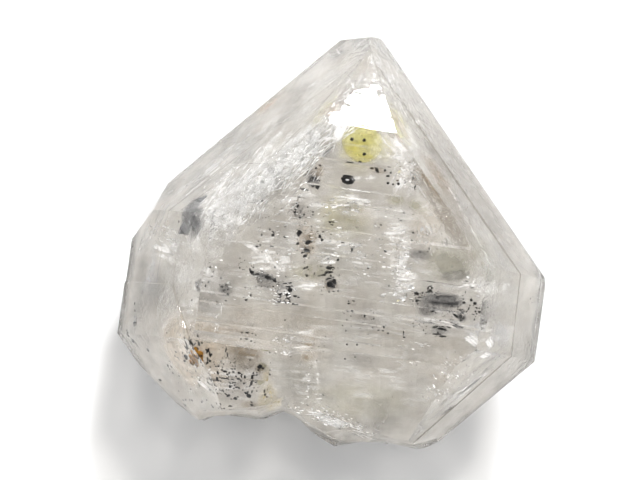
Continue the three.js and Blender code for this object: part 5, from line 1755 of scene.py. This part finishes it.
floor_mesh = bpy.data.meshes.new("floor")
sides = ((-1, -1), (1, -1), (1, 1), (-1, 1))
floor_mesh.from_pydata([(x * FLOOR_HALF, y * FLOOR_HALF, -FLOOR_DROP) for x, y in sides], [], [(0, 1, 2, 3)])
floor = bpy.data.objects.new("floor", floor_mesh)
scene.collection.objects.link(floor)
paper, tree, shader = finish_named("white_paper", (0.9, 0.9, 0.9), 0.9)
fibre = pattern(tree, CLOUD, 300, 3, 0.2, 0.8)
tones(tree, shader, fibre, (0.89, 0.89, 0.89), (0.91, 0.91, 0.91))
dress(floor, paper)
print("floor:", round(2 * FLOOR_HALF, 1), "m across")

# %% [markdown]
# The sky is a soft studio: dim overhead, where the camera hangs, and brighter towards the sides, which gives
# the faces their tones and makes the silver flash.

# %% Sky
SKY = [
    # the upward part of the direction, brightness
    (0.0, 1.25), (0.30, 1.03), (0.62, 0.68), (0.86, 0.56), (1.0, 0.50),
]
SKY_TOP = 2.0

world = bpy.data.worlds.new("studio")
world.use_nodes = True
scene.world = world
tree = world.node_tree
place = node(tree, "ShaderNodeTexCoord")
parts = node(tree, "ShaderNodeSeparateXYZ")
tones_up = node(tree, "ShaderNodeValToRGB")
tree.links.new(place.outputs["Generated"], parts.inputs["Vector"])
tree.links.new(parts.outputs["Z"], tones_up.inputs["Fac"])
stops = tones_up.color_ramp.elements
while len(stops) < len(SKY):
    stops.new(0.5)
for stop, (height, light) in zip(stops, SKY):
    stop.position = height
    stop.color = (light / SKY_TOP, light / SKY_TOP, light / SKY_TOP, 1)
tree.links.new(tones_up.outputs["Color"], tree.nodes["Background"].inputs["Color"])
tree.nodes["Background"].inputs["Strength"].default_value = SKY_TOP
print("sky: brightness", SKY[0][1], "at the sides and", SKY[-1][1], "overhead")

# %% [markdown]
# The key lamp is a soft square beyond the tip and throws the grey shadow below the stone. The three cards are
# only there to be mirrored. One stands where the small face at the tip mirrors it to the eye and makes that
# face flash white, and two large ones at the sides give the silver something bright to catch.

# %% Lamps


def lamp(name, direction, distance, width, height, power, target=Vector()):
    """A rectangular lamp that shines at a point from that direction."""
    light = bpy.data.lights.new(name, "AREA")
    light.shape = "RECTANGLE"
    light.size = width
    light.size_y = height
    light.energy = power
    made = bpy.data.objects.new(name, light)
    way = direction.normalized()
    turned = way.to_track_quat("Z", "Y").to_matrix().to_4x4()
    made.matrix_world = Matrix.Translation(target + way * distance) @ turned
    made.visible_camera = False
    scene.collection.objects.link(made)
    return made


def from_side(turn, rise):
    """A direction that is turned from the way the tip points, and rises above the floor, in degrees."""
    flat = along * math.cos(math.radians(turn)) + across * math.sin(math.radians(turn))
    return flat * math.cos(math.radians(rise)) + Vector((0, 0, 1)) * math.sin(math.radians(rise))


# distance, width and height in metres, then watts
KEY = (0.32, 0.045, 0.04, 1.35)
TIP_CARD = (0.5, 0.06, 0.03, 0.36)
SIDE_CARD = (0.6, 0.4, 0.3, 0.55)
# turn and rise in degrees
KEY_FROM = (17, 42)
SIDE_CARDS_FROM = [(180, 48), (0, 62)]
TIP_FACE_MIDDLE = SHIFT + Vector((0.55, 7.3, 5.2)) * MM

lamp("key", from_side(*KEY_FROM), *KEY)

tip_normal, _ = face(0, RHOMB, 0)
to_eye = (eye - TIP_FACE_MIDDLE).normalized()
mirror_way = 2 * tip_normal.dot(to_eye) * tip_normal - to_eye
cards = [lamp("card", mirror_way, *TIP_CARD, TIP_FACE_MIDDLE)]
cards += [lamp("side_card", from_side(*way), *SIDE_CARD) for way in SIDE_CARDS_FROM]
for card in cards:
    card.visible_diffuse = False
print("lamps: key and", [card.name for card in cards])

# %% [markdown]
# Clear quartz needs many bounces, or the light that is trapped inside it comes out black. The plain view
# transform keeps the white floor white.

# %% Light paths and view
scene.cycles.max_bounces = 24
scene.cycles.transmission_bounces = 24
scene.cycles.transparent_max_bounces = 32
scene.cycles.glossy_bounces = 12
scene.cycles.diffuse_bounces = 4
scene.cycles.caustics_refractive = False
scene.cycles.caustics_reflective = False
scene.view_settings.view_transform = "Standard"
print("bounces:", scene.cycles.max_bounces)
